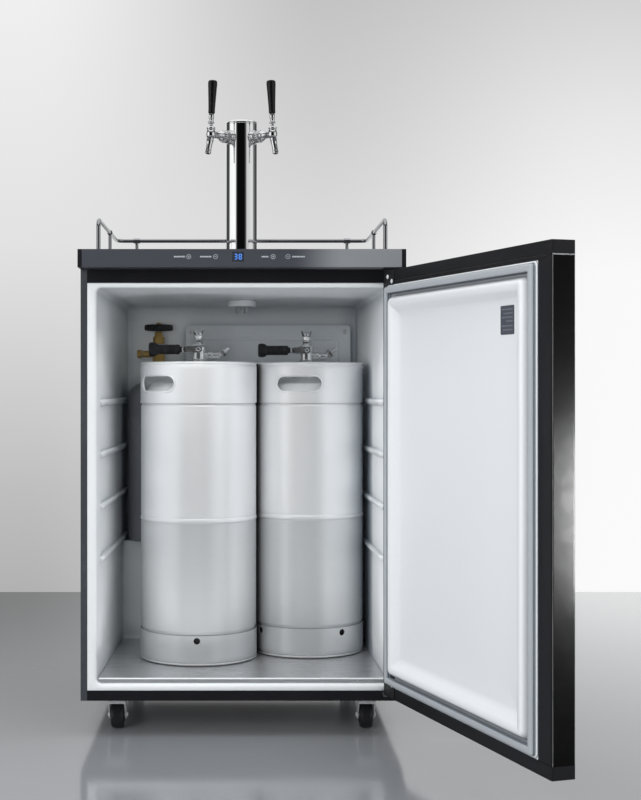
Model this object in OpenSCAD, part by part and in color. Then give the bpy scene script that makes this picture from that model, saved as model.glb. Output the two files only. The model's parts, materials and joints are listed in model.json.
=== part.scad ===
// Two-tap draught beer cabinet: an undercounter refrigerator on casters with a tap tower,
// a guard rail, a hinged door, two slim kegs with couplers and a gas cylinder.
// Origin on the floor under the middle of the cabinet, +Z up, the door side faces -Y.

/* [Cabinet] */
// Outer width of the cabinet
cab_w = 600; // [560:1:760]
// Depth from the front of the control fascia to the back
total_d = 632; // [600:1:760]
// Height of the worktop above the floor
cab_h = 901; // [880:1:1100]
// Distance from the cabinet's front plane to the front of the closed door
door_reach = 50; // [46:1:60]
// Thickness of the insulated side wall at the front
wall_front = 30; // [26:1:40]
// Thickness of the insulated side wall at the back
wall_back = 44; // [40:1:60]
// Thickness of the insulated rear wall
wall_rear = 45; // [40:1:60]
// Thickness of the insulated bottom
wall_floor = 31.5; // [28:0.5:45]
// Thickness of the insulated top, worktop included
wall_top = 67; // [60:1:90]
// Thickness of the outer steel sheets
sheet_t = 1.2; // [0.8:0.1:2]
// Thickness of the plastic inner liner
liner_t = 2; // [1.5:0.1:3]
// Width of the steel strip beside the liner flange
strip_w = 12; // [8:0.5:16]
// Height of the control fascia and of the worktop edge
fascia_h = 33; // [28:1:45]

/* [Compressor hump] */
// Height of the hump inside the cabinet above the floor
hump_z = 317; // [290:1:360]
// Distance of the hump's front from the back of the cabinet
hump_d = 148; // [140:1:180]

/* [Casters] */
// Height of the casters under the base
caster_h = 65.5; // [60:0.5:90]
// Diameter of a caster wheel
wheel_d = 50; // [40:1:54]
// Width of a caster wheel
wheel_w = 25; // [18:1:30]
// Distance of the casters from the sides of the cabinet
caster_side = 64; // [45:1:90]
// Distance of the casters from the front and back of the cabinet
caster_end = 50; // [45:1:90]
// Offset of the wheel axle behind the swivel axis
caster_trail = 16; // [10:1:22]

/* [Door] */
// Thickness of the door without its gasket
door_t = 39; // [34:1:42]
// Gap between the door and the fascia above it
door_gap_top = 7; // [6:0.5:12]
// Height of the door's lower edge above the base of the cabinet
door_lift = 20.5; // [18:0.5:30]
// Angle at which the door stands open
door_open = 107.8; // [0:0.1:110]
// Distance of the hinge pins from the side of the cabinet
pin_side = 10; // [8:0.5:14]
// Distance of the hinge pins from the front of the closed door
pin_front = 10; // [8:0.5:14]
// Diameter of a hinge pin
pin_d = 8; // [6:0.5:10]
// Height of the door's end caps
cap_h = 20; // [14:1:30]

/* [Tower] */
// Diameter of the tap tower
tower_d = 70; // [62:1:90]
// Height of the tower above the worktop
tower_h = 308; // [260:1:360]
// Distance of the tower's axis behind the middle of the cabinet
tower_y = 84; // [60:1:110]
// Angle of each tap from straight ahead
tap_angle = 45; // [40:1:60]
// Depth of the tap axis under the top of the tower
tap_drop = 38.4; // [34:0.1:60]
// Distance of the tap lever from the tower's axis
tap_reach = 90; // [84:1:110]
// Height of the lever's ball above the tap axis
ball_rise = 12; // [11:0.5:14]
// Angle by which a closed tap handle leans back
handle_lean = 3; // [0:0.5:6]

/* [Guard rail] */
// Height of the guard rail's centre line above the worktop
rail_h = 63.5; // [40:0.5:90]
// Diameter of the guard rail
rail_d = 8; // [6:0.5:12]
// Distance of the guard rail from the sides of the cabinet
rail_side = 30; // [20:1:60]
// Distance of its front end from the middle of the cabinet
rail_front = 234; // [180:1:260]
// Distance of its rear run from the middle of the cabinet
rail_rear = 161; // [150:1:260]

/* [Kegs] */
// Diameter of a keg
keg_d = 235; // [220:1:236]
// Height of a keg
keg_h = 594; // [560:1:600]
// Sheet thickness of a keg
keg_t = 1.6; // [1.2:0.1:2.5]
// Sideways place of the left keg
keg_left_x = -87.5; // [-90:0.5:-85]
// Depth place of the left keg
keg_left_y = -32; // [-40:1:-30]
// Sideways place of the right keg
keg_right_x = 134.5; // [132:0.5:140]
// Depth place of the right keg
keg_right_y = 48; // [46:1:60]

/* [Gas cylinder] */
// Diameter of the gas cylinder
gas_d = 133; // [110:1:134]
// Height of the gas cylinder's body up to its valve
gas_h = 345; // [320:1:360]
// Sideways place of the gas cylinder
gas_x = -182; // [-184:1:-160]
// Distance of the gas cylinder's axis from the back of the cabinet
gas_back = 115; // [113:1:125]

/* [Drip tray] */
// Width of the drip tray
tray_w = 250; // [200:1:320]
// Depth of the drip tray
tray_d = 165; // [120:1:200]
// Height of the drip tray
tray_h = 14; // [10:1:16]

/* [Hidden] */
$fn = 64;
fit_gap = 0.3;
run_gap = 0.05;

front_y = -total_d / 2;
back_y = total_d / 2;
face_y = front_y + door_reach;
half_w = cab_w / 2;
top_z = cab_h;
deck_z = cab_h - fascia_h;
base_z = caster_h;
pan_t = 2;
trim_w = 8;

mouth_half = half_w - wall_front;
rear_half = half_w - wall_back;
space_back = back_y - wall_rear;
space_floor = base_z + wall_floor;
space_top = top_z - wall_top;
ceiling_fall = 6;
mouth_round = 6;
flange_t = 3;
flange_half = half_w - strip_w;
flange_low = base_z + 18.5;
flange_high = deck_z - 25;
hump_y = back_y - hump_d;
room_y = hump_y + 32;
room_z = hump_z - 32;

tray_top = space_floor + 8;
tray_front = face_y + 9;
tray_sheet = 1.5;

keg_z = tray_top;
keg_r = keg_d / 2;
keg_top = keg_z + keg_h;
KEG_AT = [[keg_left_x, keg_left_y, keg_z], [keg_right_x, keg_right_y, keg_z]];
KEG_TURN = [-45, -10];
top_chime = 82;
low_chime = 60;
bead_z = 282;
body_r = keg_r - 1.2;
hole_w = 93;
hole_h = 32;
hole_drop = 43;
drain_z = 50;
drain_r = 6.5;
neck_r = 26;
neck_top = keg_h - 20;
valve_bore = 8;

grip_z = keg_top + 26;
coupler_r = 13;
probe_r = 6;

gas_y = back_y - gas_back;
gas_r = gas_d / 2;
gas_top = hump_z + gas_h;
stem_r = 4;
wheel_hub_z = keg_top + 72.5;

tap_z = top_z + tower_h - tap_drop;
tower_r = tower_d / 2;
tower_t = 1.5;
hose_r = 25;
tube_side = 9;
shank_r = 7.9;
collar_l = 8;
nut_l = 15;
faucet_start = tower_r + collar_l + nut_l;
ball_r = 6.5;
flange_r = tower_r + 17;

drip_y = tower_y - flange_r - 2;

rail_r = rail_d / 2;
rail_x = half_w - rail_side;
rail_z = top_z + rail_h;
rail_bend = 16;
post_r = 3.5;
side_post_y = 0;
rear_post_x = rail_x - 43;

door_low = base_z + door_lift;
door_high = deck_z - door_gap_top;
door_in = front_y + door_t;
pin_x = half_w - pin_side;
pin_y = front_y + pin_front;
pin_r = pin_d / 2;
pin_l = 16;
bracket_t = 4;
seal_band = 25;
seal_w = 14;
seal_gap = 0.5;
seal_free = 32;
seal_hinge = 30;
dyke_h = 13;
door_lip = 20;

caster_x = half_w - caster_side;
CASTER_AT = [[-caster_x, face_y + caster_end], [caster_x, face_y + caster_end],
             [-caster_x, back_y - caster_end], [caster_x, back_y - caster_end]];
axle_r = 3;
fork_t = 2.5;
fork_gap = 1.5;
race_r = 17;

// A block between two opposite corners
module block(a, b) {
  translate(a) cube(b - a);
}

// A block with upright rounded edges, between two opposite corners
module soft_block(a, b, r) {
  translate([0, 0, a[2]])
    linear_extrude(b[2] - a[2])
      soft_rect([a[0], a[1]], [b[0], b[1]], r);
}

// A rectangle with round corners, between two opposite corners
module soft_rect(a, b, r) {
  translate([a[0], a[1] + r]) square([b[0] - a[0], b[1] - a[1] - 2 * r]);
  translate([a[0] + r, a[1]]) square([b[0] - a[0] - 2 * r, b[1] - a[1]]);
  for (x = [a[0] + r, b[0] - r])
    for (y = [a[1] + r, b[1] - r])
      translate([x, y]) circle(r);
}

// A flat ring in the XZ plane, standing from depth y1 to y2
module upright_ring(x1, x2, z1, z2, w, r, y1, y2) {
  translate([0, y2, 0])
    rotate([90, 0, 0])
      linear_extrude(y2 - y1)
        difference() {
          soft_rect([x1, z1], [x2, z2], r);
          soft_rect([x1 + w, z1 + w], [x2 - w, z2 - w], max(r - w, 2));
        }
}

// A rod between two heights
module rod(r, z1, z2) {
  translate([0, 0, z1]) cylinder(r = r, h = z2 - z1);
}

// A rod along X, or along Y, from the local origin
module rod_x(r, x1, x2) {
  translate([x1, 0, 0]) rotate([0, 90, 0]) cylinder(r = r, h = x2 - x1);
}

module rod_y(r, y1, y2) {
  translate([0, y2, 0]) rotate([90, 0, 0]) cylinder(r = r, h = y2 - y1);
}

// ---------------------------------------------------------------- cabinet

// Half width of the inner space at a given depth
function space_half(y) = mouth_half - (mouth_half - rear_half) * (y - face_y) / (space_back - face_y);

// The refrigerated space, grown by g all round, and reaching ahead of the front plane by f
module space(g, f) {
  intersection() {
    translate([0, 0, space_floor - g])
      linear_extrude(space_top - space_floor + 2 * g)
        polygon([
          [-mouth_half - mouth_round - g, face_y - f],
          [mouth_half + mouth_round + g, face_y - f],
          [mouth_half + mouth_round + g, face_y],
          [mouth_half + g, face_y + mouth_round],
          [rear_half + g, space_back + g],
          [-rear_half - g, space_back + g],
          [-mouth_half - g, face_y + mouth_round],
          [-mouth_half - mouth_round - g, face_y]
        ]);
    translate([-half_w, 0, 0])
      rotate([90, 0, 90])
        linear_extrude(cab_w)
          polygon([
            [face_y - f, space_floor - g],
            [hump_y + g, space_floor - g],
            [hump_y + g, hump_z - g],
            [space_back + g, hump_z - g],
            [space_back + g, space_top - ceiling_fall + g],
            [face_y, space_top + g],
            [face_y - f, space_top + g]
          ]);
  }
}

module side_panels() {
  color("#3c4046")
    for (s = [0, 1])
      mirror([s, 0, 0])
        translate([0, 0, base_z])
          linear_extrude(deck_z - base_z)
            polygon([
              [half_w, face_y], [half_w, back_y], [half_w - strip_w, back_y],
              [half_w - strip_w, back_y - sheet_t], [half_w - sheet_t, back_y - sheet_t],
              [half_w - sheet_t, face_y + sheet_t], [half_w - strip_w, face_y + sheet_t],
              [half_w - strip_w, face_y]
            ]);
}

module rear_panel() {
  color("#3c4046")
    block([-half_w + strip_w, back_y - sheet_t, room_z], [half_w - strip_w, back_y, deck_z]);
}

module rear_cover() {
  slots = 12;
  slot_gap = 14;
  slot_w = 180;
  slot_h = 5;
  slot_x = 130;
  color("#2c2e31")
    difference() {
      block([-half_w + strip_w, back_y - sheet_t, base_z + pan_t],
            [half_w - strip_w, back_y, room_z]);
      for (i = [0 : slots - 1])
        for (s = [-1, 1])
          translate([s * slot_x - slot_w / 2, back_y - 3, base_z + 25 + i * slot_gap])
            cube([slot_w, 6, slot_h]);
    }
}

module base_pan() {
  color("#26282b")
    block([-half_w + sheet_t, face_y + sheet_t, base_z],
          [half_w - sheet_t, back_y - sheet_t, base_z + pan_t]);
}

module inner_liner() {
  ledge_h = 5;
  ledge_y1 = face_y + 50;
  ledge_y2 = space_back - 8;
  shelf_step = 98.5;
  color("#e9edf0")
    difference() {
      union() {
        difference() {
          union() {
            space(liner_t, 0);
            block([-flange_half, face_y, flange_low],
                  [flange_half, face_y + flange_t, flange_high]);
          }
          space(0, 5);
        }
        for (s = [0, 1])
          for (i = [0 : 3])
            mirror([s, 0, 0])
              translate([0, 0, space_floor + 230 + i * shelf_step])
                linear_extrude(ledge_h)
                  polygon([
                    [space_half(ledge_y1) + liner_t / 2, ledge_y1],
                    [space_half(ledge_y2) + liner_t / 2, ledge_y2],
                    [space_half(ledge_y2) - 8, ledge_y2],
                    [space_half(ledge_y1) - 2, ledge_y1]
                  ]);
      }
      translate([0, tower_y, 0]) rod(hose_r, space_top - 20, space_top + 20);
    }
}

module cabinet_foam() {
  color("#e8d9a8")
    difference() {
      union() {
        block([-half_w + sheet_t, face_y + flange_t, base_z + pan_t],
              [half_w - sheet_t, back_y - sheet_t, deck_z]);
        block([-half_w + 2 * sheet_t, face_y + 2 * sheet_t, deck_z],
              [half_w - 2 * sheet_t, back_y - 2 * sheet_t, top_z - 2 * sheet_t]);
      }
      space(liner_t, 5);
      block([-half_w, room_y, base_z], [half_w, back_y, room_z]);
      translate([0, tower_y, 0]) rod(hose_r, space_top - 20, top_z + 1);
    }
}

module front_rails() {
  color("#17181a") {
    block([-flange_half, face_y, flange_high], [flange_half, face_y + sheet_t, deck_z]);
    block([-flange_half, face_y, base_z], [flange_half, face_y + sheet_t, flange_low]);
  }
}

module worktop() {
  color("#34373c")
    difference() {
      block([-half_w, face_y, deck_z], [half_w, back_y, top_z]);
      block([-half_w + 2 * sheet_t, face_y + 2 * sheet_t, deck_z - 1],
            [half_w - 2 * sheet_t, back_y - 2 * sheet_t, top_z - 2 * sheet_t]);
      translate([0, tower_y, 0]) rod(hose_r, deck_z, top_z + 1);
    }
}

module floor_tray() {
  color("#b9bcbf")
    difference() {
      linear_extrude_at(space_floor, tray_top)
        tray_plan(0);
      linear_extrude_at(space_floor - 1, tray_top - tray_sheet)
        tray_plan(tray_sheet);
    }
}

module linear_extrude_at(z1, z2) {
  translate([0, 0, z1]) linear_extrude(z2 - z1) children();
}

module tray_plan(g) {
  tray_gap = 1.5;
  y1 = tray_front + g;
  y2 = hump_y - tray_gap - g;
  polygon([
    [-space_half(y1) + tray_gap + g, y1], [space_half(y1) - tray_gap - g, y1],
    [space_half(y2) - tray_gap - g, y2], [-space_half(y2) + tray_gap + g, y2]
  ]);
}

module evaporator_plate() {
  plate_t = 15;
  left = -125;
  right = rear_half - 14;
  low = hump_z + 14;
  high = space_top - 48;
  screw_in = 14;
  color("#dfe5ea")
    translate([0, space_back, 0])
      rotate([90, 0, 0])
        linear_extrude(plate_t)
          difference() {
            soft_rect([left, low], [right, high], 8);
            for (x = [left + screw_in, right - screw_in])
              for (z = [low + screw_in, high - screw_in])
                translate([x, z]) circle(2);
          }
}

module hose_grommet() {
  lip_r = 29;
  line_r = 5;
  color("#f2f4f5")
    difference() {
      translate([0, tower_y, 0]) {
        rod(lip_r, space_top - 16, space_top - 4.2);
        rod(hose_r - fit_gap, space_top - 5, deck_z);
      }
      for (s = [-1, 1])
        translate([s * tube_side, tower_y, 0]) rod(line_r, space_top - 20, deck_z + 1);
      space_cap();
    }
}

// The liner's sloping ceiling, kept clear of the grommet's lip
module space_cap() {
  difference() {
    translate([0, tower_y, 0]) rod(40, space_top - 10, space_top + 2);
    space(0, 5);
    translate([0, tower_y, 0]) rod(hose_r, space_top - 30, space_top + 30);
  }
}

// ---------------------------------------------------------------- machine room

module compressor() {
  mid_y = (room_y + back_y) / 2;
  shell_r = 48;
  body_z = base_z + pan_t + 12;
  color("#1b1c1e")
    translate([120, mid_y, 0]) {
      rod(shell_r, body_z, body_z + 95);
      translate([0, 0, body_z + 95])
        rotate_extrude()
          polygon([[0, -5], [shell_r, -5],
            for (a = [0 : 15 : 90]) [shell_r * cos(a), 30 * sin(a)]]);
      for (x = [-38, 38])
        for (y = [-28, 28])
          translate([x, y, 0]) rod(9, base_z + pan_t, body_z + 4);
      translate([-45, 0, body_z + 60]) rod_x(4, -28, 4);
      translate([shell_r - 4, -16, body_z + 20]) cube([22, 32, 46]);
    }
}

// ---------------------------------------------------------------- control fascia

module control_fascia() {
  wall = 2.5;
  color("#6b7078")
    difference() {
      block([-half_w + trim_w, front_y, deck_z], [half_w - trim_w, face_y, top_z]);
      block([-half_w, front_y + wall, deck_z + wall], [half_w, face_y + 1, top_z - wall]);
      window_block(0, 1);
    }
}

module window_block(g, deep) {
  translate([-7, 0, deck_z + 19])
    block([-11 - g, front_y - deep, -9 - g], [11 + g, front_y + 2.5 + deep, 9 + g]);
}

module display_window() {
  color("#101418") window_block(0, 0);
}

module control_board() {
  color("#1f5a3a") {
    block([-70, front_y + 8, deck_z + 5], [60, front_y + 9.6, top_z - 5]);
    block([-18, front_y + 3, deck_z + 12], [4, front_y + 8, top_z - 7]);
  }
}

module fascia_end_caps() {
  color("#202225")
    for (s = [0, 1])
      mirror([s, 0, 0])
        block([half_w - trim_w, front_y, deck_z], [half_w, face_y, top_z]);
}

// ---------------------------------------------------------------- guard rail

// Quarter bend in the plane through the local X and Z axes, centred on the local origin
module bend(r, rb) {
  rotate([90, 0, 0])
    rotate_extrude(angle = 90)
      translate([rb, 0]) circle(r);
}

module guard_rail() {
  side_l = rail_front - rail_bend;
  color("#d8dadc")
    for (s = [0, 1])
      mirror([s, 0, 0]) {
        translate([rail_x, -rail_front, 0]) rod(rail_r, top_z + 4, rail_z - rail_bend);
        translate([rail_x, -side_l, rail_z - rail_bend])
          rotate([0, 0, -90])
            bend(rail_r, rail_bend);
        translate([rail_x, 0, rail_z]) rod_y(rail_r, -side_l, rail_rear - rail_bend);
        translate([rail_x - rail_bend, rail_rear - rail_bend, rail_z])
          rotate_extrude(angle = 90)
            translate([rail_bend, 0]) circle(rail_r);
        translate([0, rail_rear, rail_z]) rod_x(rail_r, 0, rail_x - rail_bend);
      }
}

module rail_posts() {
  foot_r = 8;
  foot_t = 4;
  sleeve_r = 5.4;
  sleeve_l = 14;
  color("#e4e6e8")
    difference() {
      for (s = [0, 1])
        mirror([s, 0, 0]) {
          for (p = [[rail_x, -rail_front], [rail_x, side_post_y], [rear_post_x, rail_rear]])
            translate([p[0], p[1], 0]) rod(foot_r, top_z, top_z + foot_t);
          translate([rail_x, side_post_y, 0]) rod(post_r, top_z, rail_z);
          translate([rear_post_x, rail_rear, 0]) rod(post_r, top_z, rail_z);
          translate([rail_x, side_post_y, rail_z]) rod_y(sleeve_r, -sleeve_l / 2, sleeve_l / 2);
          translate([rear_post_x, rail_rear, rail_z]) rod_x(sleeve_r, -sleeve_l / 2, sleeve_l / 2);
        }
      for (s = [-1, 1])
        translate([s * rail_x, 0, rail_z]) rod_y(rail_r, -40, 40);
      translate([0, rail_rear, rail_z]) rod_x(rail_r, -rail_x, rail_x);
    }
}

// ---------------------------------------------------------------- tower and taps

// Places its children at a tap: the tap axis runs along -Y from the tower, side is -1 or 1
module at_tap(side) {
  translate([0, tower_y, tap_z])
    rotate([0, 0, side * tap_angle])
      children();
}

module tower_column() {
  color("#dfe1e3")
    difference() {
      translate([0, tower_y, 0]) rod(tower_r, top_z + 6, top_z + tower_h - 9);
      translate([0, tower_y, 0]) rod(tower_r - tower_t, top_z, top_z + tower_h);
      for (s = [-1, 1])
        at_tap(s) rod_y(shank_r + 0.1, -tower_r - 5, 0);
    }
}

module tower_cap() {
  dome_h = 9;
  color("#dfe1e3")
    translate([0, tower_y, top_z + tower_h - dome_h])
      rotate_extrude()
        polygon([[0, -10], [tower_r - tower_t - fit_gap, -10],
          [tower_r - tower_t - fit_gap, 0], [tower_r, 0],
          for (a = [0 : 15 : 90]) [tower_r - 6 + 6 * cos(a), 3 + 6 * sin(a)],
          [0, dome_h]]);
}

module tower_flange() {
  bolt_r = tower_r + 9;
  color("#d2d5d8")
    translate([0, tower_y, 0]) {
      difference() {
        union() {
          rod(flange_r, top_z, top_z + 4);
          rod(tower_r + 3, top_z, top_z + 6);
          rod(tower_r - tower_t, top_z, top_z + 16);
        }
        rod(hose_r, top_z - 1, top_z + 20);
      }
      for (i = [0 : 3])
        rotate([0, 0, 45 + 90 * i])
          translate([bolt_r, 0, top_z + 4])
            rotate_extrude()
              polygon([[0, 0], [4.5, 0], for (a = [0 : 30 : 90]) [4.5 * cos(a), 2.5 * sin(a)]]);
    }
}

// Steel tubes from the hose grommet up the tower and into the shanks
module beer_tubes() {
  tube_r = 4;
  color("#c5c8ca")
    for (s = [-1, 1])
      translate([s * tube_side, tower_y, 0])
        difference() {
          rod(tube_r, space_top - 30, tap_z - 16);
          rod(tube_r - 1, space_top - 31, tap_z - 15);
        }
}

module tap_shanks() {
  color("#dfe1e3")
    for (s = [-1, 1])
      at_tap(s)
        difference() {
          union() {
            rod_y(shank_r, -faucet_start, -12);
            intersection() {
              rod_y(12, -tower_r + tower_t, -tower_r + tower_t + 8);
              translate([0, 0, -20]) cylinder(r = tower_r - tower_t - 0.1, h = 40);
            }
            difference() {
              rod_y(15, -tower_r - collar_l, -tower_r + 8);
              translate([0, 0, -20]) cylinder(r = tower_r + 0.05, h = 40);
            }
            rod_y(13.5, -faucet_start, -tower_r - collar_l);
          }
          rod_y(4, -faucet_start - 1, -5);
        }
}

module faucet_bodies() {
  chamber_r = 5;
  cup_r = ball_r + 0.7;
  spout_r = 6.5;
  color("#d9dbdd")
    for (s = [-1, 1])
      at_tap(s)
        difference() {
          union() {
            rod_y(11, -faucet_start - 8, -faucet_start);
            rod_y(8.5, -tap_reach, -faucet_start - 8);
            translate([0, -tap_reach, 0]) sphere(r = 10);
            translate([0, -tap_reach, 0]) rod(9, 0, ball_rise + 2);
            translate([0, -tap_reach, 0])
              rotate([-12, 0, 0])
                rod(spout_r, -42, 0);
          }
          translate([0, -tap_reach, 0]) rod(cup_r, -2, ball_rise + 10);
          rod_y(chamber_r, -tap_reach - 3, -faucet_start + 1);
          translate([0, -tap_reach, 0])
            rotate([-12, 0, 0])
              rod(4.5, -50, 0);
        }
}

// Swings its children back by the closed lever's lean, about the lever's ball
module at_lever(side) {
  at_tap(side)
    translate([0, -tap_reach, ball_rise])
      rotate([-handle_lean, 0, 0])
        children();
}

module tap_lever(side) {
  pivot_r = 2.2;
  pivot_half = ball_r + 0.3;
  color("#e0e2e4")
    at_lever(side) {
      sphere(r = ball_r);
      rod_x(pivot_r, -pivot_half, pivot_half);
      rod(4, 0, 12);
      rod(2.2, -ball_rise, 0);
      translate([0, 0, -ball_rise]) sphere(r = 2.2);
      translate([0, 0, 8])
        rotate_extrude()
          polygon([[0, 0], [6, 0], [6.6, 3], [5.2, 7], [5.6, 20], [5.6, 22.4], [0, 22.4]]);
    }
}

module tap_handle(side) {
  foot_z = 30.4;
  grip_l = 69;
  round_r = 3;
  color("#141415")
    at_lever(side)
      translate([0, 0, foot_z])
        rotate_extrude()
          polygon([[0, 0], [5.5, 0], [5.9, 2],
            for (a = [0 : 15 : 90]) [10 - round_r + round_r * cos(a), grip_l - round_r + round_r * sin(a)],
            [0, grip_l]]);
}

module faucet_shaft(side) {
  color("#c9ccce")
    at_tap(side) {
      rod_y(2.5, -tap_reach + 3.2, -faucet_start - 6);
      rod_y(4.4, -faucet_start - 9, -faucet_start - 6);
    }
}

// ---------------------------------------------------------------- drip tray

module drip_tray() {
  wall = 1.2;
  color("#b4b7ba")
    difference() {
      soft_block([-tray_w / 2, drip_y - tray_d, top_z], [tray_w / 2, drip_y, top_z + tray_h], 10);
      soft_block([-tray_w / 2 + wall, drip_y - tray_d + wall, top_z + wall],
                 [tray_w / 2 - wall, drip_y - wall, top_z + tray_h + 1], 10 - wall);
    }
}

module drip_grille() {
  rim = 2;
  slots = 11;
  pitch = (tray_w - 30) / slots;
  color("#c7cacc")
    difference() {
      soft_block([-tray_w / 2 + rim, drip_y - tray_d + rim, top_z + tray_h - 3],
                 [tray_w / 2 - rim, drip_y - rim, top_z + tray_h - 1], 8);
      for (i = [0 : slots - 1])
        translate([-tray_w / 2 + 15 + pitch * (i + 0.2), drip_y - tray_d + 16, top_z])
          cube([pitch * 0.6, tray_d - 32, 20]);
    }
}

// ---------------------------------------------------------------- kegs and couplers

// Half outline of a keg's drum, drawn in by g
function drum(g) = concat(
  [[0, 22 + g]],
  [for (a = [75 : -15 : 0]) [(body_r - g) * cos(a), low_chime - 8 - (30 - g) * sin(a)]],
  [for (a = [0 : 15 : 75]) [(body_r - g) * cos(a), keg_h - 74 + (46 - g) * sin(a)]],
  [[0, keg_h - 28 - g]]);

module keg(place, turn) {
  translate(place)
    rotate([0, 0, turn])
      difference() {
        union() {
          rotate_extrude() polygon(drum(0));
          rotate_extrude() chime_outline();
          translate([0, 0, bead_z]) bead();
          rod(neck_r, keg_h - 50, neck_top - 8);
        }
        rotate_extrude() polygon(drum(keg_t));
        rod(neck_r - 4, keg_h - 60, keg_h);
        for (s = [0, 180])
          rotate([0, 0, s]) {
            hand_hole();
            for (t = [-45, 45])
              rotate([0, 0, t])
                translate([0, 0, drain_z]) rod_y(drain_r, -keg_r - 5, -keg_r + 12);
          }
      }
}

// The two skirts that carry the drum, each with a rolled edge
module chime_outline() {
  roll = 3;
  skirt = keg_r - 1.8;
  translate([skirt, keg_h - top_chime]) square([1.8, top_chime - roll]);
  translate([keg_r - roll, keg_h - roll]) circle(roll);
  translate([skirt, roll]) square([1.8, low_chime - roll]);
  translate([keg_r - roll, roll]) circle(roll);
}

module bead() {
  rotate_extrude()
    polygon([[body_r - 1, -5], [keg_r, -2], [keg_r, 2], [body_r - 1, 5]]);
}

module hand_hole() {
  half = hole_w / 2 - hole_h / 2;
  translate([0, -keg_r - 8, keg_h - hole_drop]) {
    translate([-half, 0, -hole_h / 2]) cube([2 * half, 60, hole_h]);
    for (s = [-1, 1])
      translate([s * half, 0, 0]) rod_y(hole_h / 2, 0, 60);
  }
}

module keg_left() {
  color("#c9ccce") keg(KEG_AT[0], KEG_TURN[0]);
}

module keg_right() {
  color("#c9ccce") keg(KEG_AT[1], KEG_TURN[1]);
}

// Neck fitting and valve ring, closing the drum
module keg_valves() {
  color("#a9adb0")
    for (p = KEG_AT)
      translate(p)
        difference() {
          union() {
            rod(neck_r - 4, keg_h - 60, neck_top - 4);
            rod(neck_r, neck_top - 8, neck_top);
          }
          rod(valve_bore, keg_h - 56, keg_h);
        }
}

module coupler_bodies() {
  color("#cfd2d4")
    for (p = KEG_AT)
      translate([p[0], p[1], 0])
        difference() {
          union() {
            rod(21, keg_top - 20, keg_top - 4);
            rod(17, keg_top - 4, keg_top + 3);
            rod(coupler_r, keg_top + 3, grip_z + 11);
            translate([0, 0, grip_z + 4]) cylinder(r = 15, h = 5, $fn = 6);
            translate([0, 0, keg_top + 14]) rod_x(7, 0, 40);
            translate([40, 0, keg_top + 14]) sphere(r = 7);
            translate([40, 0, keg_top + 14])
              rotate([0, -35, 0]) {
                rod_x(5, 0, 12);
                rotate([0, 90, 0]) translate([0, 0, 7]) cylinder(r = 8.5, h = 7, $fn = 6);
              }
          }
          rod(probe_r + 0.15, keg_top - 40, grip_z + 30);
        }
}

// Grip, yoke and cheeks around the coupler's pivot
module coupler_grip(i) {
  p = KEG_AT[i];
  cheek_in = coupler_r + 3;
  cheek_t = 3;
  // the thick part starts here, clear of the probe when the grip is up
  grip_in = 36;
  color("#161617")
    translate([p[0], p[1], grip_z]) {
      rod_x(10, -87, -grip_in);
      rod_x(6, -grip_in, -27);
      translate([-101, 0, 0])
        rotate([0, 90, 0])
          rotate_extrude()
            polygon([[0, 0], [13, 0], [14.5, 2], [14, 9], [10, 15], [10, 16], [0, 16]]);
      block([-31, -cheek_in - cheek_t, -6], [-24, cheek_in + cheek_t, 6]);
      for (s = [0, 1])
        mirror([0, s, 0]) {
          block([-31, cheek_in, -6], [0, cheek_in + cheek_t, 6]);
          rod_y(7, cheek_in, cheek_in + cheek_t);
        }
    }
}

module coupler_probe(i) {
  p = KEG_AT[i];
  color("#d6d9db")
    translate([p[0], p[1], 0])
      difference() {
        union() {
          rod(probe_r, keg_top - 24, grip_z + 36);
          translate([0, 0, grip_z + 12]) cylinder(r = 8, h = 8, $fn = 6);
          rod(7, grip_z + 20, grip_z + 24);
        }
        rod(3.5, keg_top - 26, grip_z + 40);
      }
}

// ---------------------------------------------------------------- gas

module gas_cylinder() {
  wall = 3;
  neck = 15;
  shoulder = 33;
  color("#33373c")
    translate([gas_x, gas_y, hump_z])
      rotate_extrude()
        polygon(concat(
          [[0, 0], [gas_r - 6, 0]],
          [for (a = [-60 : 30 : 0]) [gas_r - 6 + 6 * cos(a), 6 + 6 * sin(a)]],
          [for (a = [0 : 15 : 75]) [neck + (gas_r - neck) * cos(a), gas_h - shoulder + shoulder * sin(a)]],
          [[neck, gas_h], [11, gas_h], [11, gas_h - 6]],
          [for (a = [75 : -15 : 0])
            [neck + (gas_r - wall - neck) * cos(a), gas_h - shoulder + (shoulder - wall) * sin(a)]],
          [[gas_r - wall, 8], [0, 8]]));
}

module gas_valve() {
  color("#b08d4a")
    translate([gas_x, gas_y, 0]) {
      rod(11, gas_top - 8, gas_top);
      rod(14, gas_top, keg_top + 40);
      translate([0, 0, keg_top + 40]) cylinder(r = 16, h = 20, $fn = 6);
      rod(10, keg_top + 60, wheel_hub_z - 1);
      rod(stem_r, wheel_hub_z - 1, wheel_hub_z + 15);
      translate([0, 0, keg_top + 22]) {
        rod_x(7, -34, 0);
        translate([-37, 0, 0]) rotate([0, 90, 0]) cylinder(r = 9, h = 10, $fn = 6);
      }
      translate([0, 0, gas_top + 22]) rod_x(8, 0, 22);
    }
}

module cylinder_handwheel() {
  rim_r = 31.5;
  wheel_t = 14;
  color("#151517")
    translate([gas_x, gas_y, wheel_hub_z])
      difference() {
        union() {
          difference() {
            rod(rim_r, 0, wheel_t);
            rod(rim_r - 8, 4, wheel_t + 1);
          }
          rod(9, 0, wheel_t);
        }
        rod(stem_r + run_gap, -1, wheel_t + 2);
        for (i = [0 : 11])
          rotate([0, 0, 30 * i])
            translate([rim_r + 3, 0, 0]) rod(5, -1, wheel_t + 1);
      }
}

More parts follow.
